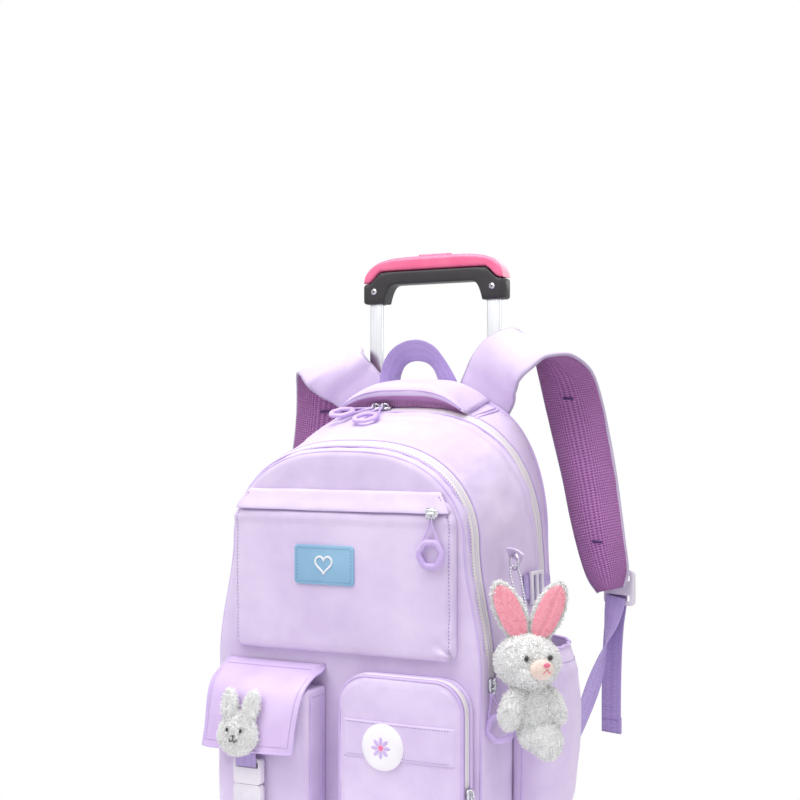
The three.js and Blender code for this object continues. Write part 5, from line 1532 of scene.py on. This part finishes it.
@dataclass
class Webbing:
    """All flat webbing: the grab handle, side strap, strap tails and the buckle's two lengths."""

    wide: float = 25.0
    thick: float = 1.6
    handle: tuple = ((-46, 101.2, 507, 0.6), (-45.5, 101.2, 519, 0.62), (-44, 101, 533, 0.66),
                     (-37, 100.5, 547, 0.74),
                     (-24.5, 100, 555.5, 0.88), (-9, 100, 557.5, 0.94), (5, 100, 553, 0.9),
                     (15, 100.5, 543, 0.86),
                     (22.5, 101, 530, 0.92), (28, 101.2, 517, 0.98), (31, 101.2, 507, 1.0))
    tail: tuple = ((205, 147.9, 304, 24, -7, 0), (203, 148.3, 284, 24, -7, 0), (200, 148.2, 262, 24, -7, 0),
                   (198, 148, 230, 24, -7, 0), (197, 148, 190, 24, -7, 0), (197, 148, 148, 24, -7, 0))
    lower: tuple = ((205, 139.9, 294, 24, -7, 0), (203, 139.8, 282, 23, -8, 0), (200, 137.6, 264, 18, -12, 8),
                    (195, 131, 236, 6, -17, 18), (187, 121, 202, -4, -19, 16), (177, 111, 166, -2, -21, 14),
                    (165, 103, 130, 2, -23, 9), (154.4, 98, 102, 3, -24, 4), (151.2, 96, 88, 0, -24, 2))
    lock_z: float = 304.0
    fade_from: float = 88.0

    def moved(self, table: tuple, side: int) -> list[tuple]:
        """A table's rows on one side; on the left they sit lower and nearer the bag."""
        drop, inward = (0, 0) if side > 0 else (7, 7)
        rows = []
        for x, y, z, a, b, c in table:
            t = clamp((z - self.fade_from) / (self.lock_z - self.fade_from))
            rows.append((side * (x - t * inward), y, z - drop * t, side * a, b, c))
        return rows

    def band(self, table: Sequence[tuple], steps: int = 8) -> Mesh:
        """A length of webbing through a table's rows."""
        return ribbon(rows_from(table, self.wide, self.thick), steps, 5, 5.0)

    def loop(self) -> Mesh:
        """The grab handle: each row's last value is how far its width lies in the loop's own plane."""
        rows = []
        last = len(self.handle) - 1
        for i, (x, y, z, flat) in enumerate(self.handle):
            before, after = self.handle[max(i - 1, 0)], self.handle[min(i + 1, last)]
            along = Vector((after[0] - before[0], 0, after[2] - before[2])).normalized()
            lean = math.sqrt(1 - flat * flat)
            rows.append((x, y, z, -along.z * flat, -lean, along.x * flat))
        return self.band(rows, 10)

    def build(self, shop: Workshop) -> None:
        """Makes every length, with the folded and stitched tail ends."""
        shop.piece(self.loop(), "grab_handle_webbing", "webbing_purple", slot="webbing",
                   replaces=["grab_handle"])
        for side, name in ((1, "right"), (-1, "left")):
            rows = self.moved(self.tail, side)
            end = [(r[0], r[1] + 1.9, r[2], *r[3:]) for r in rows[-2:]]
            tip = [(end[1][0], end[1][1], z, *end[1][3:]) for z in (148.5, 156, 165)]
            tail = joined(self.band(rows), self.band(tip))
            made = shop.piece(tail, f"strap_tail_{name}_webbing", "webbing_purple", slot="webbing",
                              replaces=[f"strap_tail_{name}"])
            across = Vector(rows[-1][3:6]).normalized()
            line = [Vector(rows[-1][:3]) + across * s + Vector((0, -1.2, 14)) for s in (-10, -5, 0, 5, 10)]
            sewn = shop.stitches(line, f"strap_tail_{name}_stitches", 2.4, 1.8, 0.4, "webbing")
            shop.piece(self.band(self.moved(self.lower, side)), f"strap_webbing_{name}_length",
                       "webbing_purple", slot="webbing", replaces=[f"strap_webbing_{name}"])
            shop.eased(f"strap_lock_{name}", f"strap_lock_{name}_frame", "acetal_white", slot="white_plastic",
                       edge=1.2)
        self._side_strap(shop)

    def _side_strap(self, shop: Workshop) -> None:
        """The compression strap round the bag's right side and its slider."""
        rows = []
        for i in range(9):
            y = mix(24, 94, i / 8)
            z = 312 - 6 * i / 8
            high, low = (BAG.side(y, z + s * self.wide / 2) for s in (1, -1))
            rows.append((max((high + low) / 2, BAG.side(y, z)) + 2.1, y, z, high - low, 0, self.wide))
        shop.piece(self.band(rows, 4), "side_strap_webbing", "webbing_purple", slot="webbing",
                   replaces=["side_strap"])
        shop.eased("side_buckle", "side_slider_plate", "acetal_white", slot="white_plastic", edge=0.9)


@dataclass
class Buckle:
    """The side-release buckle of the flap, with its two lengths of webbing."""

    x: float = -79.0
    out: float = 44.5
    thick: float = 8.0

    def drop(self, table: Sequence[tuple[float, float]]) -> Mesh:
        """Webbing that falls through points of height and distance from the face."""
        rows = [(self.x, FACE_Y - out, z, 1, 0, 0) for z, out in table]
        return ribbon(rows_from(rows, 24, 1.5), 8, 5, 5.0)

    def build(self, shop: Workshop) -> None:
        """Makes the buckle's halves, release button and webbing."""
        front = self.out + self.thick + 1.3
        shop.piece(self.drop(((178, 50.1), (166, 52.4), (156, 54.2), (147, front), (140, front))),
                   "flap_webbing_length", "webbing_purple", slot="webbing", replaces=["flap_webbing"])
        shop.piece(self.drop(((100, front), (90, front), (79, 41.6), (70, 37.4))), "pocket_webbing_length",
                   "webbing_purple", slot="webbing", replaces=["pocket_webbing"])
        shop.eased("buckle_plug", "buckle_plug_half", "acetal_white", slot="white_plastic", edge=1.2)
        shop.eased("buckle_socket", "buckle_socket_half", "acetal_white", slot="white_plastic", edge=1.2)
        y = FACE_Y - self.out - self.thick
        for k, x in enumerate((-11, 11)):
            press = oval(Vector((self.x + x * 1.32, y + self.thick / 2, 116)), (2.2, 3.0, 6.5))
            shop.piece(press, f"buckle_press_{k + 1}", "acetal_white", slot="white_plastic")
        rib = oval(Vector((self.x, y + 0.2, 111)), (7.5, 1.0, 5.0))
        shop.piece(rib, "buckle_boss", "acetal_white", slot="white_plastic")


def balls(table: Sequence[tuple]) -> list[Mesh]:
    """Stretched balls from a table of place, half sizes and tilt."""
    return [oval(Vector(), (a, b, c), Matrix.Translation((x, y, z)) @ Matrix.Rotation(tilt, 4, "Y"), 28)
            for x, y, z, a, b, c, tilt in table]


@dataclass
class Plush:
    """Curly plush: a lumpy body with short bent locks all over."""

    density: float = 0.55
    lock: float = 2.9
    thick: float = 0.75
    seed: int = 3

    def body(self, parts: Sequence[Mesh], voxel: float) -> Mesh:
        """One closed body from overlapping parts, fused and smoothed.

        Args:
            parts: closed bodies; they are used up.
            voxel: the fusing grid in mm.

        Returns:
            The fused body.
        """
        bm = joined(*parts)
        mesh = bpy.data.meshes.new("plush_form")
        bm.to_mesh(mesh)
        bm.free()
        thing = bpy.data.objects.new("plush_form", mesh)
        bpy.context.scene.collection.objects.link(thing)
        modifier = thing.modifiers.new("fuse", "REMESH")
        modifier.mode = "VOXEL"
        modifier.voxel_size = voxel
        graph = bpy.context.evaluated_depsgraph_get()
        fused = bpy.data.meshes.new_from_object(thing.evaluated_get(graph))
        out = bmesh.new()
        out.from_mesh(fused)
        bpy.data.objects.remove(thing)
        bpy.data.meshes.remove(mesh)
        bpy.data.meshes.remove(fused)
        for _ in range(4):
            bmesh.ops.smooth_vert(out, verts=out.verts, factor=0.5, use_axis_x=True, use_axis_y=True,
                                  use_axis_z=True)
        out.loops.layers.uv.verify()
        return out

    def locks(self, body: Mesh, skip: Callable[[Vector], bool] = lambda p: False) -> Mesh:
        """Short bent locks over a body.

        Args:
            body: the body in mm.
            skip: says where none grow.

        Returns:
            The locks.
        """
        dice = random.Random(self.seed)
        body.normal_update()
        places = []
        for face in body.faces:
            chance = face.calc_area() * self.density
            spot = face.calc_center_median()
            if skip(spot):
                continue
            for _ in range(int(chance) + (dice.random() < chance % 1)):
                root = spot + Vector([dice.uniform(-0.9, 0.9) for _ in range(3)])
                lean = Vector([dice.uniform(-1, 1) for _ in range(3)])
                way = (face.normal + lean * 0.95).normalized()
                turn = way.to_track_quat("Z", "Y").to_matrix().to_4x4()
                reach = self.lock * dice.uniform(0.6, 1.25)
                wide = self.thick * dice.uniform(0.8, 1.3)
                size = Matrix.Diagonal((wide, wide, reach, 1))
                places.append(Matrix.Translation(root + way * reach * 0.28) @ turn @ size)
        return scattered(lambda bm, m: bmesh.ops.create_cone(
            bm, cap_ends=False, segments=3, radius1=1, radius2=0.22, depth=1, matrix=m), places)


@dataclass
class Charm:
    """The rabbit charm: cloth tab, split ring, ball chain and plush rabbit."""

    x: float = 186.8
    y: float = -56.5
    z: float = 252.0
    turn: float = -0.49
    look: float = 0.42
    parts: tuple = ((0, 0, 0, 31, 24, 26, 0), (2, -18, -8, 14, 10, 10.5, 0), (8, 2, -46, 20.5, 18, 27.5, 0),
                    (-15, -8, -44, 12, 11, 20.5, 0.25), (26, -2, -42, 9, 11, 18.5, -0.3),
                    (16, -7, -72, 15.5, 14, 19.5, -0.35), (2, -4, -68, 11, 12, 14, 0))
    ears: tuple = ((-16, 2, 46, 14.6, 5.2, 33, -0.42), (20, 2, 46, 14.6, 5.2, 33, 0.42))
    chain: tuple = ((179.8, -39.4, 273.6), (174.3, -28.7, 295), (165, -18.5, 321), (160.2, -15.4, 333),
                    (157.4, -19.2, 338), (155, -23.4, 333), (160, -28, 319), (170.8, -35.2, 296),
                    (181, -44.8, 275.6))

    def frame(self) -> Matrix:
        """From the rabbit's own axes to the bag's."""
        return Matrix.Translation((self.x, self.y, self.z)) @ Matrix.Rotation(-self.turn, 4, "Z")

    def build(self, shop: Workshop) -> None:
        """Makes the charm's parts from the bag outwards."""
        self._hardware(shop)
        plush = Plush()
        body = plush.body(balls(self.parts), 2.2)
        push(body, lambda p, n: 1.1 * noise.noise(p / 4.2) + 0.8 * noise.noise(p / 9))
        locks = plush.locks(body)
        whole = placed(joined(body, locks), self.frame())
        rabbit = shop.piece(whole, "rabbit_body", "curly_plush_white", slot="plush",
                            replaces=["charm_rabbit"])
        self._ears(shop)
        self._face(shop)

    def _ears(self, shop: Workshop) -> None:
        """Two ears: plush backs and creased pink fronts."""
        short = Plush(1.1, 2.6, 0.75, 5)
        for name, row in zip(("left", "right"), self.ears):
            bm = short.body(balls([row]), 2.0)
            push(bm, lambda p, n: 0.7 * noise.noise(p / 4))
            back = placed(joined(bm, short.locks(bm.copy(), lambda p: p.y < -1.5)), self.frame())
            ear = shop.piece(back, f"rabbit_ear_{name}", "curly_plush_white", slot="plush")

            def pink(u: float, v: float, row: tuple = row) -> Vector:
                """The ear's inner face, creased down its middle."""
                x, y, z, a, b, c, tilt = row
                s = mix(-1, 1, u)
                t = mix(-1, 1, v)
                wide = max(1 - abs(t) ** 2.4, 0) ** 0.5 * a * 0.8
                crease = 1.3 * bump(s - 0.1, 0.3) * (1 - 0.5 * (t + 1) / 2)
                front = -b * math.sqrt(max(1 - (s * 0.7) ** 2 - (t * 0.8) ** 2, 0.04)) - 1.6 + crease
                turn = Matrix.Translation((x, y, z)) @ Matrix.Rotation(tilt, 4, "Y")
                return self.frame() @ (turn @ Vector((s * wide, front, t * c * 0.86)))

            inner = grid(24, 44, pink, facing=AHEAD)
            shop.piece(inner, f"rabbit_ear_pink_{name}", "short_pile_pink", slot="plush", wall=0.8)

    def _face(self, shop: Workshop) -> None:
        """Bead eyes, a beige muzzle, a pink nose and a stitched mouth."""
        place = self.frame() @ Matrix.Rotation(self.look, 4, "Z")
        for name, x, y in (("left", -13, -22.0), ("right", 10.0, -26.0)):
            bead = oval(Vector((x, y, 6.5)), (2.5, 1.9, 2.7))
            shop.piece(placed(bead, place), f"rabbit_eye_{name}", "bead_black", slot="black_plastic")
        muzzle = oval(Vector((1.5, -24.5, -4.0)), (12.5, 7.5, 10.0))
        shop.piece(placed(muzzle, place), "rabbit_muzzle", "short_pile_beige", slot="plush")
        nose = oval(Vector((3, -31.8, 0.8)), (3.4, 1.6, 2.3))
        shop.piece(placed(nose, place), "rabbit_nose", "embroidery_pink", slot="plush")
        stitches = ((-2, -30.8, -7.0), (0.5, -31.8, -6.1), (3, -32.3, -3.0), (5.5, -31.6, -6.3),
                    (8, -30.4, -7.1))
        mouth = tube([Vector(spot) for spot in stitches], 0.45, 6)
        shop.piece(placed(mouth, place), "rabbit_mouth", "embroidery_pink", slot="plush")

    def _hardware(self, shop: Workshop) -> None:
        """The tab, split ring and ball chain."""
        rows = rows_from(((149, -14.8, 350, 0.3, -0.6, 0.8), (155, -15.4, 349.4, 0.35, -0.5, 0.8),
                          (160, -16.2, 347.5, 0.4, -0.4, 0.8), (164.5, -17.4, 344, 0.5, -0.3, 0.8)), 12, 2.4)
        shop.cloth(ribbon(rows, 5, 5, 5.0), "side_tab_cloth", replaces=["side_tab"])
        shop.eased("side_ring", "side_ring_wire", "chrome_plate", slot="chrome", edge=0.3)
        points = spline([Vector(p) for p in self.chain], 30)
        beads = scattered(lambda bm, m: bmesh.ops.create_icosphere(bm, subdivisions=2, radius=1.35, matrix=m),
                          [Matrix.Translation(p) for p, _ in resample(points, 3.0)])
        chain = joined(beads, tube(points, 0.5, 6))
        shop.piece(chain, "ball_chain", "chrome_plate", slot="chrome", replaces=["charm_chain"])


@dataclass
class FlapRabbit:
    """The flat plush rabbit's head sewn on the flap."""

    x: float = -84.0
    z: float = 176.0
    out: float = 54.6
    lean: float = 0.17
    parts: tuple = ((0, 0, -4, 24, 5.4, 21, 0), (-12, 0, 22, 9.5, 4.4, 19, -0.12),
                    (12, 0, 22, 9.5, 4.4, 19, 0.2))

    def build(self, shop: Workshop) -> None:
        """Makes the head and its stitched face."""
        lean = Matrix.Rotation(-self.lean, 4, "X")
        place = Matrix.Translation((self.x, FACE_Y - self.out - 5.2, self.z)) @ lean
        plush = Plush(0.75, 2.8, 0.6, 8)
        body = plush.body(balls(self.parts), 1.6)
        push(body, lambda p, n: 0.8 * noise.noise(p / 3.4))
        locks = plush.locks(body, lambda p: p.y > 3)
        head = shop.piece(placed(joined(body, locks), place), "flap_rabbit_plush", "curly_plush_white",
                          slot="plush", replaces=["flap_rabbit"])
        for name, x in (("left", -8.5), ("right", 7.5)):
            eye = oval(Vector((x, -7.4, 0)), (1.5, 1.2, 2.2))
            shop.piece(placed(eye, place), f"flap_rabbit_eye_{name}", "bead_black", slot="black_plastic")
        nose = oval(Vector((-0.5, -7.8, -5.6)), (1.6, 1.0, 1.1))
        shop.piece(placed(nose, place), "flap_rabbit_nose", "bead_black", slot="black_plastic")
        lines = [[(-0.5, -7.8, -6.4), (-0.5, -7.7, -9.2)],
                 [(-5.0, -7.2, -8.6), (-3.8, -7.5, -10.8), (-1.8, -7.7, -11), (-0.5, -7.7, -9.2),
                  (0.8, -7.7, -11), (2.8, -7.5, -10.8), (4.0, -7.2, -8.6)]]
        mouth = joined(*[tube([Vector(p) for p in line], 0.65, 6) for line in lines])
        shop.piece(placed(mouth, place), "flap_rabbit_mouth", "bead_black", slot="black_plastic")


@dataclass
class ZipperHardware:
    """Chrome sliders and soft hexagonal pulls."""

    ring: float = 12.5
    wire: float = 2.3
    legs: float = 26.0

    def pull(self) -> Mesh:
        """A pull in its own XZ plane with its eye at the origin."""
        centre = -self.legs - self.ring * 0.6
        corners = [Vector((math.sin(math.radians(60 * k + 30)), 0,
                           math.cos(math.radians(60 * k + 30)))) for k in range(6)]
        path = []
        for k in range(6):
            a, b = corners[k] * self.ring * 1.04, corners[(k + 1) % 6] * self.ring * 1.04
            path += [a.lerp(b, t) + Vector((0, 0, centre)) for t in (0.14, 0.32, 0.5, 0.68, 0.86)]
        hexagon = tube(path, self.wire, 10, True, 1.35)
        parts = [hexagon]
        for side in (-1, 1):
            knots = ((side * 0.7, 0, 0.5), (side * 1.3, 0, -4), (side * 3.6, 0, -self.legs * 0.42),
                     (side * 7.4, 0, -self.legs * 0.72), (side * 9.4, 0, -self.legs - 1),
                     (side * 10.4, 0, -self.legs - 6))
            parts.append(tube(spline([Vector(p) for p in knots], 5), 1.05, 8))
            sleeve = [Vector((side * 9.1, 0, -self.legs + 1)), Vector((side * 10.2, 0, -self.legs - 4))]
            parts.append(tube(sleeve, 1.9, 8))
        return joined(*parts)

    def slider(self, size: float = 1.0) -> Mesh:
        """A slider: x across the zipper, y along it and z outwards."""
        body = block((-4.7 * size, -6.4 * size, 0), (4.7 * size, 6.4 * size, 3.4), 1.0)
        nose = oval(Vector((0, -5.6 * size, 1.8)), (4.2 * size, 3.0 * size, 1.7))
        arch = [Vector((0, y * size, z)) for y,
                z in ((-4.6, 3.0), (-3.6, 5.0), (-1.0, 5.9), (2.0, 5.9), (4.0, 4.8), (4.6, 3.0))]
        flanges = [tube([Vector((s * 4.9 * size, y * size, 1.7)) for y in (-5.0, 0, 5.0)], 0.9,
                        6) for s in (-1, 1)]
        return joined(body, nose, tube(spline(arch, 4), 1.15, 8), *flanges)

    def links(self, start: Vector, way: Vector, out: Vector, count: int = 2) -> Mesh:
        """Oval links in a row from a point; each turns a quarter from the last."""
        parts = []
        way = way.normalized()
        side = way.cross(out).normalized()
        for k in range(count):
            centre = start + way * (2.4 + 3.6 * k)
            across = side if k % 2 else out.normalized()
            path = [centre + way * (2.9 * math.cos(a)) + across * (1.8 * math.sin(a))
                    for a in (2 * math.pi * i / 16 for i in range(16))]
            parts.append(tube(path, 0.62, 6, True))
        return joined(*parts)

    def set_pull(self, eye: Vector, down: Vector, out: Vector) -> Matrix:
        """The matrix that hangs a pull from an eye."""
        y = -out.normalized()
        z = -(down - y * down.dot(y)).normalized()
        x = y.cross(z)
        turn = Matrix((x, y, z)).transposed().to_4x4()
        return Matrix.Translation(eye) @ turn

    def set_slider(self, p: Vector, across: Vector, out: Vector) -> Matrix:
        """The matrix that seats a slider on a zipper."""
        across, out = across.normalized(), out.normalized()
        forward = out.cross(across).normalized()
        turn = Matrix((across, forward, out)).transposed().to_4x4()
        return Matrix.Translation(p + out * 1.2) @ turn

    def build(self, shop: Workshop, shell: BagShell, pocket: ZipPocket) -> None:
        """Makes the five sliders and four pulls on their zippers."""
        main = shell.main_rows()
        for name, x, down in (("left", -30, (-34, -16, -6)), ("right", -13, (-3, -36, -12))):
            p, across, out = min(main, key=lambda row: abs(row[0].x - x) + (row[0].z < 400) * 999)
            eye = p + out * 4.8 + Vector((0, -5.8, -1.6))
            nodes = (f"main_slider_{name}", f"main_pull_{name}")
            self._set(shop, f"main_{name}", nodes, (p, across, out), eye, Vector(down), Vector((0, -0.34, 1)))
        front = shell.front_rows()
        p, across, out = min(front, key=lambda row: abs(row[0].z - 232) - row[0].x)
        self._set(shop, "front", ("front_slider", "front_pull"), (p, across, out),
                  p + Vector((3.6, -4.4, -7.8)), Vector((8, 4.2, -34)), Vector((0.47, -0.88, 0)))
        p = Vector((104, FACE_Y - 10.6, 391))
        up = Vector((0, 0, 1))
        self._set(shop, "slit", ("slit_slider", "slit_pull"), (p, up, AHEAD), p + Vector((0, -4.2, -5.2)),
                  -up, AHEAD, 0.9)
        p, across, out = pocket.rows()[0]
        body = placed(self.slider(0.9), self.set_slider(p, across, out))
        chain = self.links(p + out * 6, Vector((0.2, -0.3, -1)), out, 3)
        shop.piece(joined(body, chain), "pocket_slider_body", "chrome_plate", slot="chrome",
                   replaces=["pocket_slider"])

    def _set(self, shop: Workshop, name: str, nodes: tuple[str, str], seat: Row, eye: Vector, down: Vector,
             face: Vector, size: float = 1.0) -> None:
        """One slider with its links and pull.

        Args:
            shop: makes the pieces.
            name: the zipper's name.
            nodes: the CAD nodes of the slider and the pull.
            seat: the slider's place, its way across the zipper and its way out.
            eye: where the pull hangs.
            down: the way that the pull hangs.
            face: the way that the pull's flat side faces.
            size: the slider's size as a share of the large one.
        """
        p, across, out = seat
        body = placed(self.slider(size), self.set_slider(p, across, out))
        start = p + out.normalized() * 6.2
        chain = self.links(start, eye - start + down.normalized() * 2, face, 2)
        shop.piece(joined(body, chain), f"{name}_slider_body", "chrome_plate", slot="chrome",
                   replaces=nodes[:1])
        pull = placed(self.pull(), self.set_pull(eye, down, face))
        shop.piece(pull, f"{name}_pull_ring", "silicone_lilac", slot="soft_rubber", replaces=nodes[1:])


@dataclass
class Patches:
    """The label on the upper pocket and the round badge on the zip pocket, both unlettered."""

    label_x: float = -14.0
    label_z: float = 337.0
    label_wide: float = 68.0
    label_tall: float = 39.0
    badge_x: float = 60.0
    badge_z: float = 168.0
    label_out: float = 14.1
    badge_out: float = 27.3

    def heart(self, centre: Vector, size: float) -> list[Vector]:
        """A heart's outline in the XZ plane."""
        points = []
        for k in range(48):
            t = 2 * math.pi * k / 48
            x = 16 * math.sin(t) ** 3
            z = 13 * math.cos(t) - 5 * math.cos(2 * t) - 2 * math.cos(3 * t) - math.cos(4 * t)
            points.append(centre + Vector((x, 0, z + 2)) * (size / 32))
        return points

    def build(self, shop: Workshop) -> None:
        """Makes the label with its stitches and heart, and the badge with its daisy."""
        y = FACE_Y - self.label_out
        shop.eased("label", "label_patch", "woven_label_blue", slot="label_fabric", edge=0.7)
        a, b, r = self.label_wide / 2 - 3, self.label_tall / 2 - 3, 2.5
        ring = Pillow(self.label_x - a, self.label_x + a, self.label_z - b, self.label_z + b, r, r, 0, 0,
                      0).outline(0, 0, 5)
        line = [Vector((p.x, y - 0.1, p.z)) for p in ring + ring[:1]]
        shop.piece(stitch_row(line, 3.4, 2.2, 0.4), "label_stitches", "sewing_thread_blue",
                   slot="label_fabric")
        heart = tube(self.heart(Vector((self.label_x, y - 0.2, self.label_z)), 19), 0.95, 8, True)
        shop.piece(heart, "label_heart", "silicone_white", slot="label_fabric")
        self._badge(shop)

    def _badge(self, shop: Workshop) -> None:
        """A domed enamel disc with a raised daisy."""
        profile = ((0.0, 5.0), (6, 4.95), (12, 4.7), (17, 4.1), (20.5, 3.1), (22.2, 1.8), (22.5, 0.9),
                   (21.8, 0.1), (0, 0))
        y = FACE_Y - self.badge_out

        def place(u: float, v: float) -> Vector:
            """The disc's point at u round it and v from its middle to its back."""
            r, out = row_at(profile, v)
            a = 2 * math.pi * u
            return Vector((self.badge_x + r * math.cos(a), y - out, self.badge_z + r * math.sin(a)))

        disc = grid(64, 32, place, True)
        shop.piece(disc, "badge_disc", "silicone_white", slot="white_plastic", replaces=["badge"])
        petals = []
        for k in range(8):
            a = 2 * math.pi * k / 8
            spot = Vector((self.badge_x + 6.4 * math.cos(a), y - 4.9, self.badge_z + 6.4 * math.sin(a)))
            petals.append(oval(spot, (4.0, 0.6, 1.9), Matrix.Rotation(-a, 4, "Y"), 16))
        shop.piece(joined(*petals), "badge_petals", "silicone_lilac", slot="white_plastic")
        heart = oval(Vector((self.badge_x, y - 5.1, self.badge_z)), (2.6, 0.7, 2.6))
        shop.piece(heart, "badge_daisy_centre", "gloss_abs_pink", slot="white_plastic")


@dataclass
class Grip:
    """The trolley's grip: a black core with a pink cover, a release button and two screws."""

    half: float = 86.0
    y: float = 124.0
    depth: float = 21.0
    crossbar: float = 633.0
    block_drop: float = 21.0
    seam: float = 648.0
    seam_dip: float = 13.0
    cover_low: float = 636.5
    cover_arch: float = 27.5
    screw_x: float = 73.0
    screw_z: float = 626.0

    def under(self, x: float) -> float:
        """The core's underside: the crossbar, and a block round each tube."""
        return self.crossbar - self.block_drop * clamp((x - 44) / 17) ** 3.5

    def split(self, x: float) -> float:
        """The line between the core and the cover, which dips at the ends."""
        return self.seam - self.seam_dip * ease((x - 63) / 19)

    def top(self, x: float) -> float:
        """The cover's arched upper side."""
        return self.cover_low + self.cover_arch * max(1 - (x / self.half) ** 4.6, 0) ** 0.5

    def bar(self, low: Callable[[float], float], high: Callable[[float], float], depth: float, power: float,
            stations: int = 172) -> Mesh:
        """A mirrored bar between two height lines, with a rounded section.

        Args:
            low: the height of its underside at a distance from the middle.
            high: the height of its upper side.
            depth: its size from front to back.
            power: how square its section is.
            stations: sections across the whole width.

        Returns:
            The bar.
        """
        rings = []
        for i in range(stations + 1):
            x = mix(-self.half, self.half, i / stations)
            z0, z1 = low(abs(x)), high(abs(x))
            tip = 1 - 0.08 * bump(self.half - abs(x), 2.5)
            middle, tall = (z0 + z1) / 2, (z1 - z0) * tip / 2
            ring = []
            for k in range(40):
                turn = 2 * math.pi * k / 40
                ring.append(Vector((x, self.y + swell(math.cos(turn), power) * depth * tip / 2,
                                    middle + swell(math.sin(turn), power) * tall)))
            rings.append(ring)
        return loft(rings)

    def build(self, shop: Workshop) -> None:
        """Makes the core, cover, button and screws."""
        low = self.y - self.depth / 2
        shop.piece(self.bar(self.under, self.split, self.depth, 7.0), "grip_core_body", "grained_pp_black",
                   slot="black_plastic", body="handle", replaces=["grip_core"])
        shop.piece(self.bar(lambda x: self.split(x) + 0.3, self.top, self.depth + 1, 4.0), "grip_cover_shell",
                   "gloss_abs_pink", slot="pink_plastic", body="handle", replaces=["grip_cover"])
        shop.eased("grip_button", "grip_button_cap", "gloss_abs_pink", slot="pink_plastic", body="button",
                   edge=1.0)
        z = self.screw_z
        for name, x in (("left", -self.screw_x), ("right", self.screw_x)):
            washer = tube([Vector((x, low - 0.2, z)), Vector((x, low + 1.6, z))], 3.4, 20)
            # Each screw's cross recess is a dark cross standing proud of the head: painted shade in place of
            # a hole.
            cross = [block((x - 1.8, low - 0.7, z - 0.4), (x + 1.8, low + 0.2, z + 0.4), 0.15),
                     block((x - 0.4, low - 0.7, z - 1.8), (x + 0.4, low + 0.2, z + 1.8), 0.15)]
            shop.piece(washer, f"grip_screw_{name}", "chrome_plate", slot="steel", body="handle")
            shop.piece(joined(*cross), f"grip_screw_recess_painted_shade_{name}", "grained_pp_black", slot="black_plastic",
                       body="handle")


@dataclass
class Trolley:
    """Tubes, bracket, base, axle and wheels, from their CAD shapes with eased edges."""

    wheel_y: float = 139.0
    wheel_z: float = 32.0
    dish_x: float = 126.5

    def build(self, shop: Workshop) -> None:
        """Eases each part's edges and gives it its finish."""
        for side in ("left", "right"):
            shop.eased(f"handle_tube_{side}", f"inner_tube_{side}", "anodised_aluminium", slot="aluminium",
                       body="handle", edge=0.8)
            shop.eased(f"outer_tube_{side}", f"outer_tube_{side}_profile", "anodised_aluminium",
                       slot="aluminium", edge=0.5)
            shop.eased(f"wheel_{side}", f"wheel_{side}_rim", "grained_pp_black", slot="black_plastic",
                       body=f"wheel_{side}", edge=0.8)
            shop.eased(f"tyre_{side}", f"tyre_{side}_tread", "rubber_tyre", slot="tyre", body=f"wheel_{side}",
                       edge=1.2)
            self._spokes(shop, side)
        shop.eased("frame_bracket", "frame_bracket_block", "grained_pp_black", slot="black_plastic", edge=1.6)
        shop.eased("base", "base_tray", "grained_pp_black", slot="black_plastic", edge=2.2)
        shop.eased("axle", "axle_pin", "turned_steel", slot="steel", edge=0.5)

    def _spokes(self, shop: Workshop, side: str) -> None:
        """Six ribs in the wheel's outer dish."""
        sign = 1 if side == "right" else -1
        ribs = []
        for k in range(6):
            turn = Matrix.Translation((0, self.wheel_y, self.wheel_z)) @ Matrix.Rotation(math.radians(60 * k),
                                                                                         4, "X")
            rib = block((sign * self.dish_x - 1.6, -1.3, 8.2), (sign * self.dish_x + 1.6, 1.3, 18.5), 0.8)
            ribs.append(placed(rib, turn))
        shop.piece(joined(*ribs), f"wheel_{side}_ribs", "grained_pp_black", slot="black_plastic",
                   body=f"wheel_{side}")


def main() -> None:
    """Builds the studio and every part of the backpack."""
    logging.basicConfig(level=logging.INFO, format="%(name)s %(message)s")
    finishes = Finishes()
    Studio().build(finishes)
    shop = Workshop(finishes)
    shell, zip_pocket = BagShell(), ZipPocket()
    shell.build(shop)
    for part in (UpperPocket(), FlapPocket(), zip_pocket, SidePocket(1), SidePocket(-1), TopPad(),
                 BackPanel(),
                 ShoulderStrap("right", STRAP_RIGHT, 1), ShoulderStrap("left", STRAP_LEFT, -1), Webbing(),
                 Buckle(), FlapRabbit(), Charm(), Patches(), Grip(), Trolley()):
        part.build(shop)
        LOG.info("%s done, %d pieces", type(part).__name__, shop.count)
    ZipperHardware().build(shop, shell, zip_pocket)
    LOG.info("all %d pieces done", shop.count)
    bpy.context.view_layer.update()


if __name__ == "__main__":
    main()
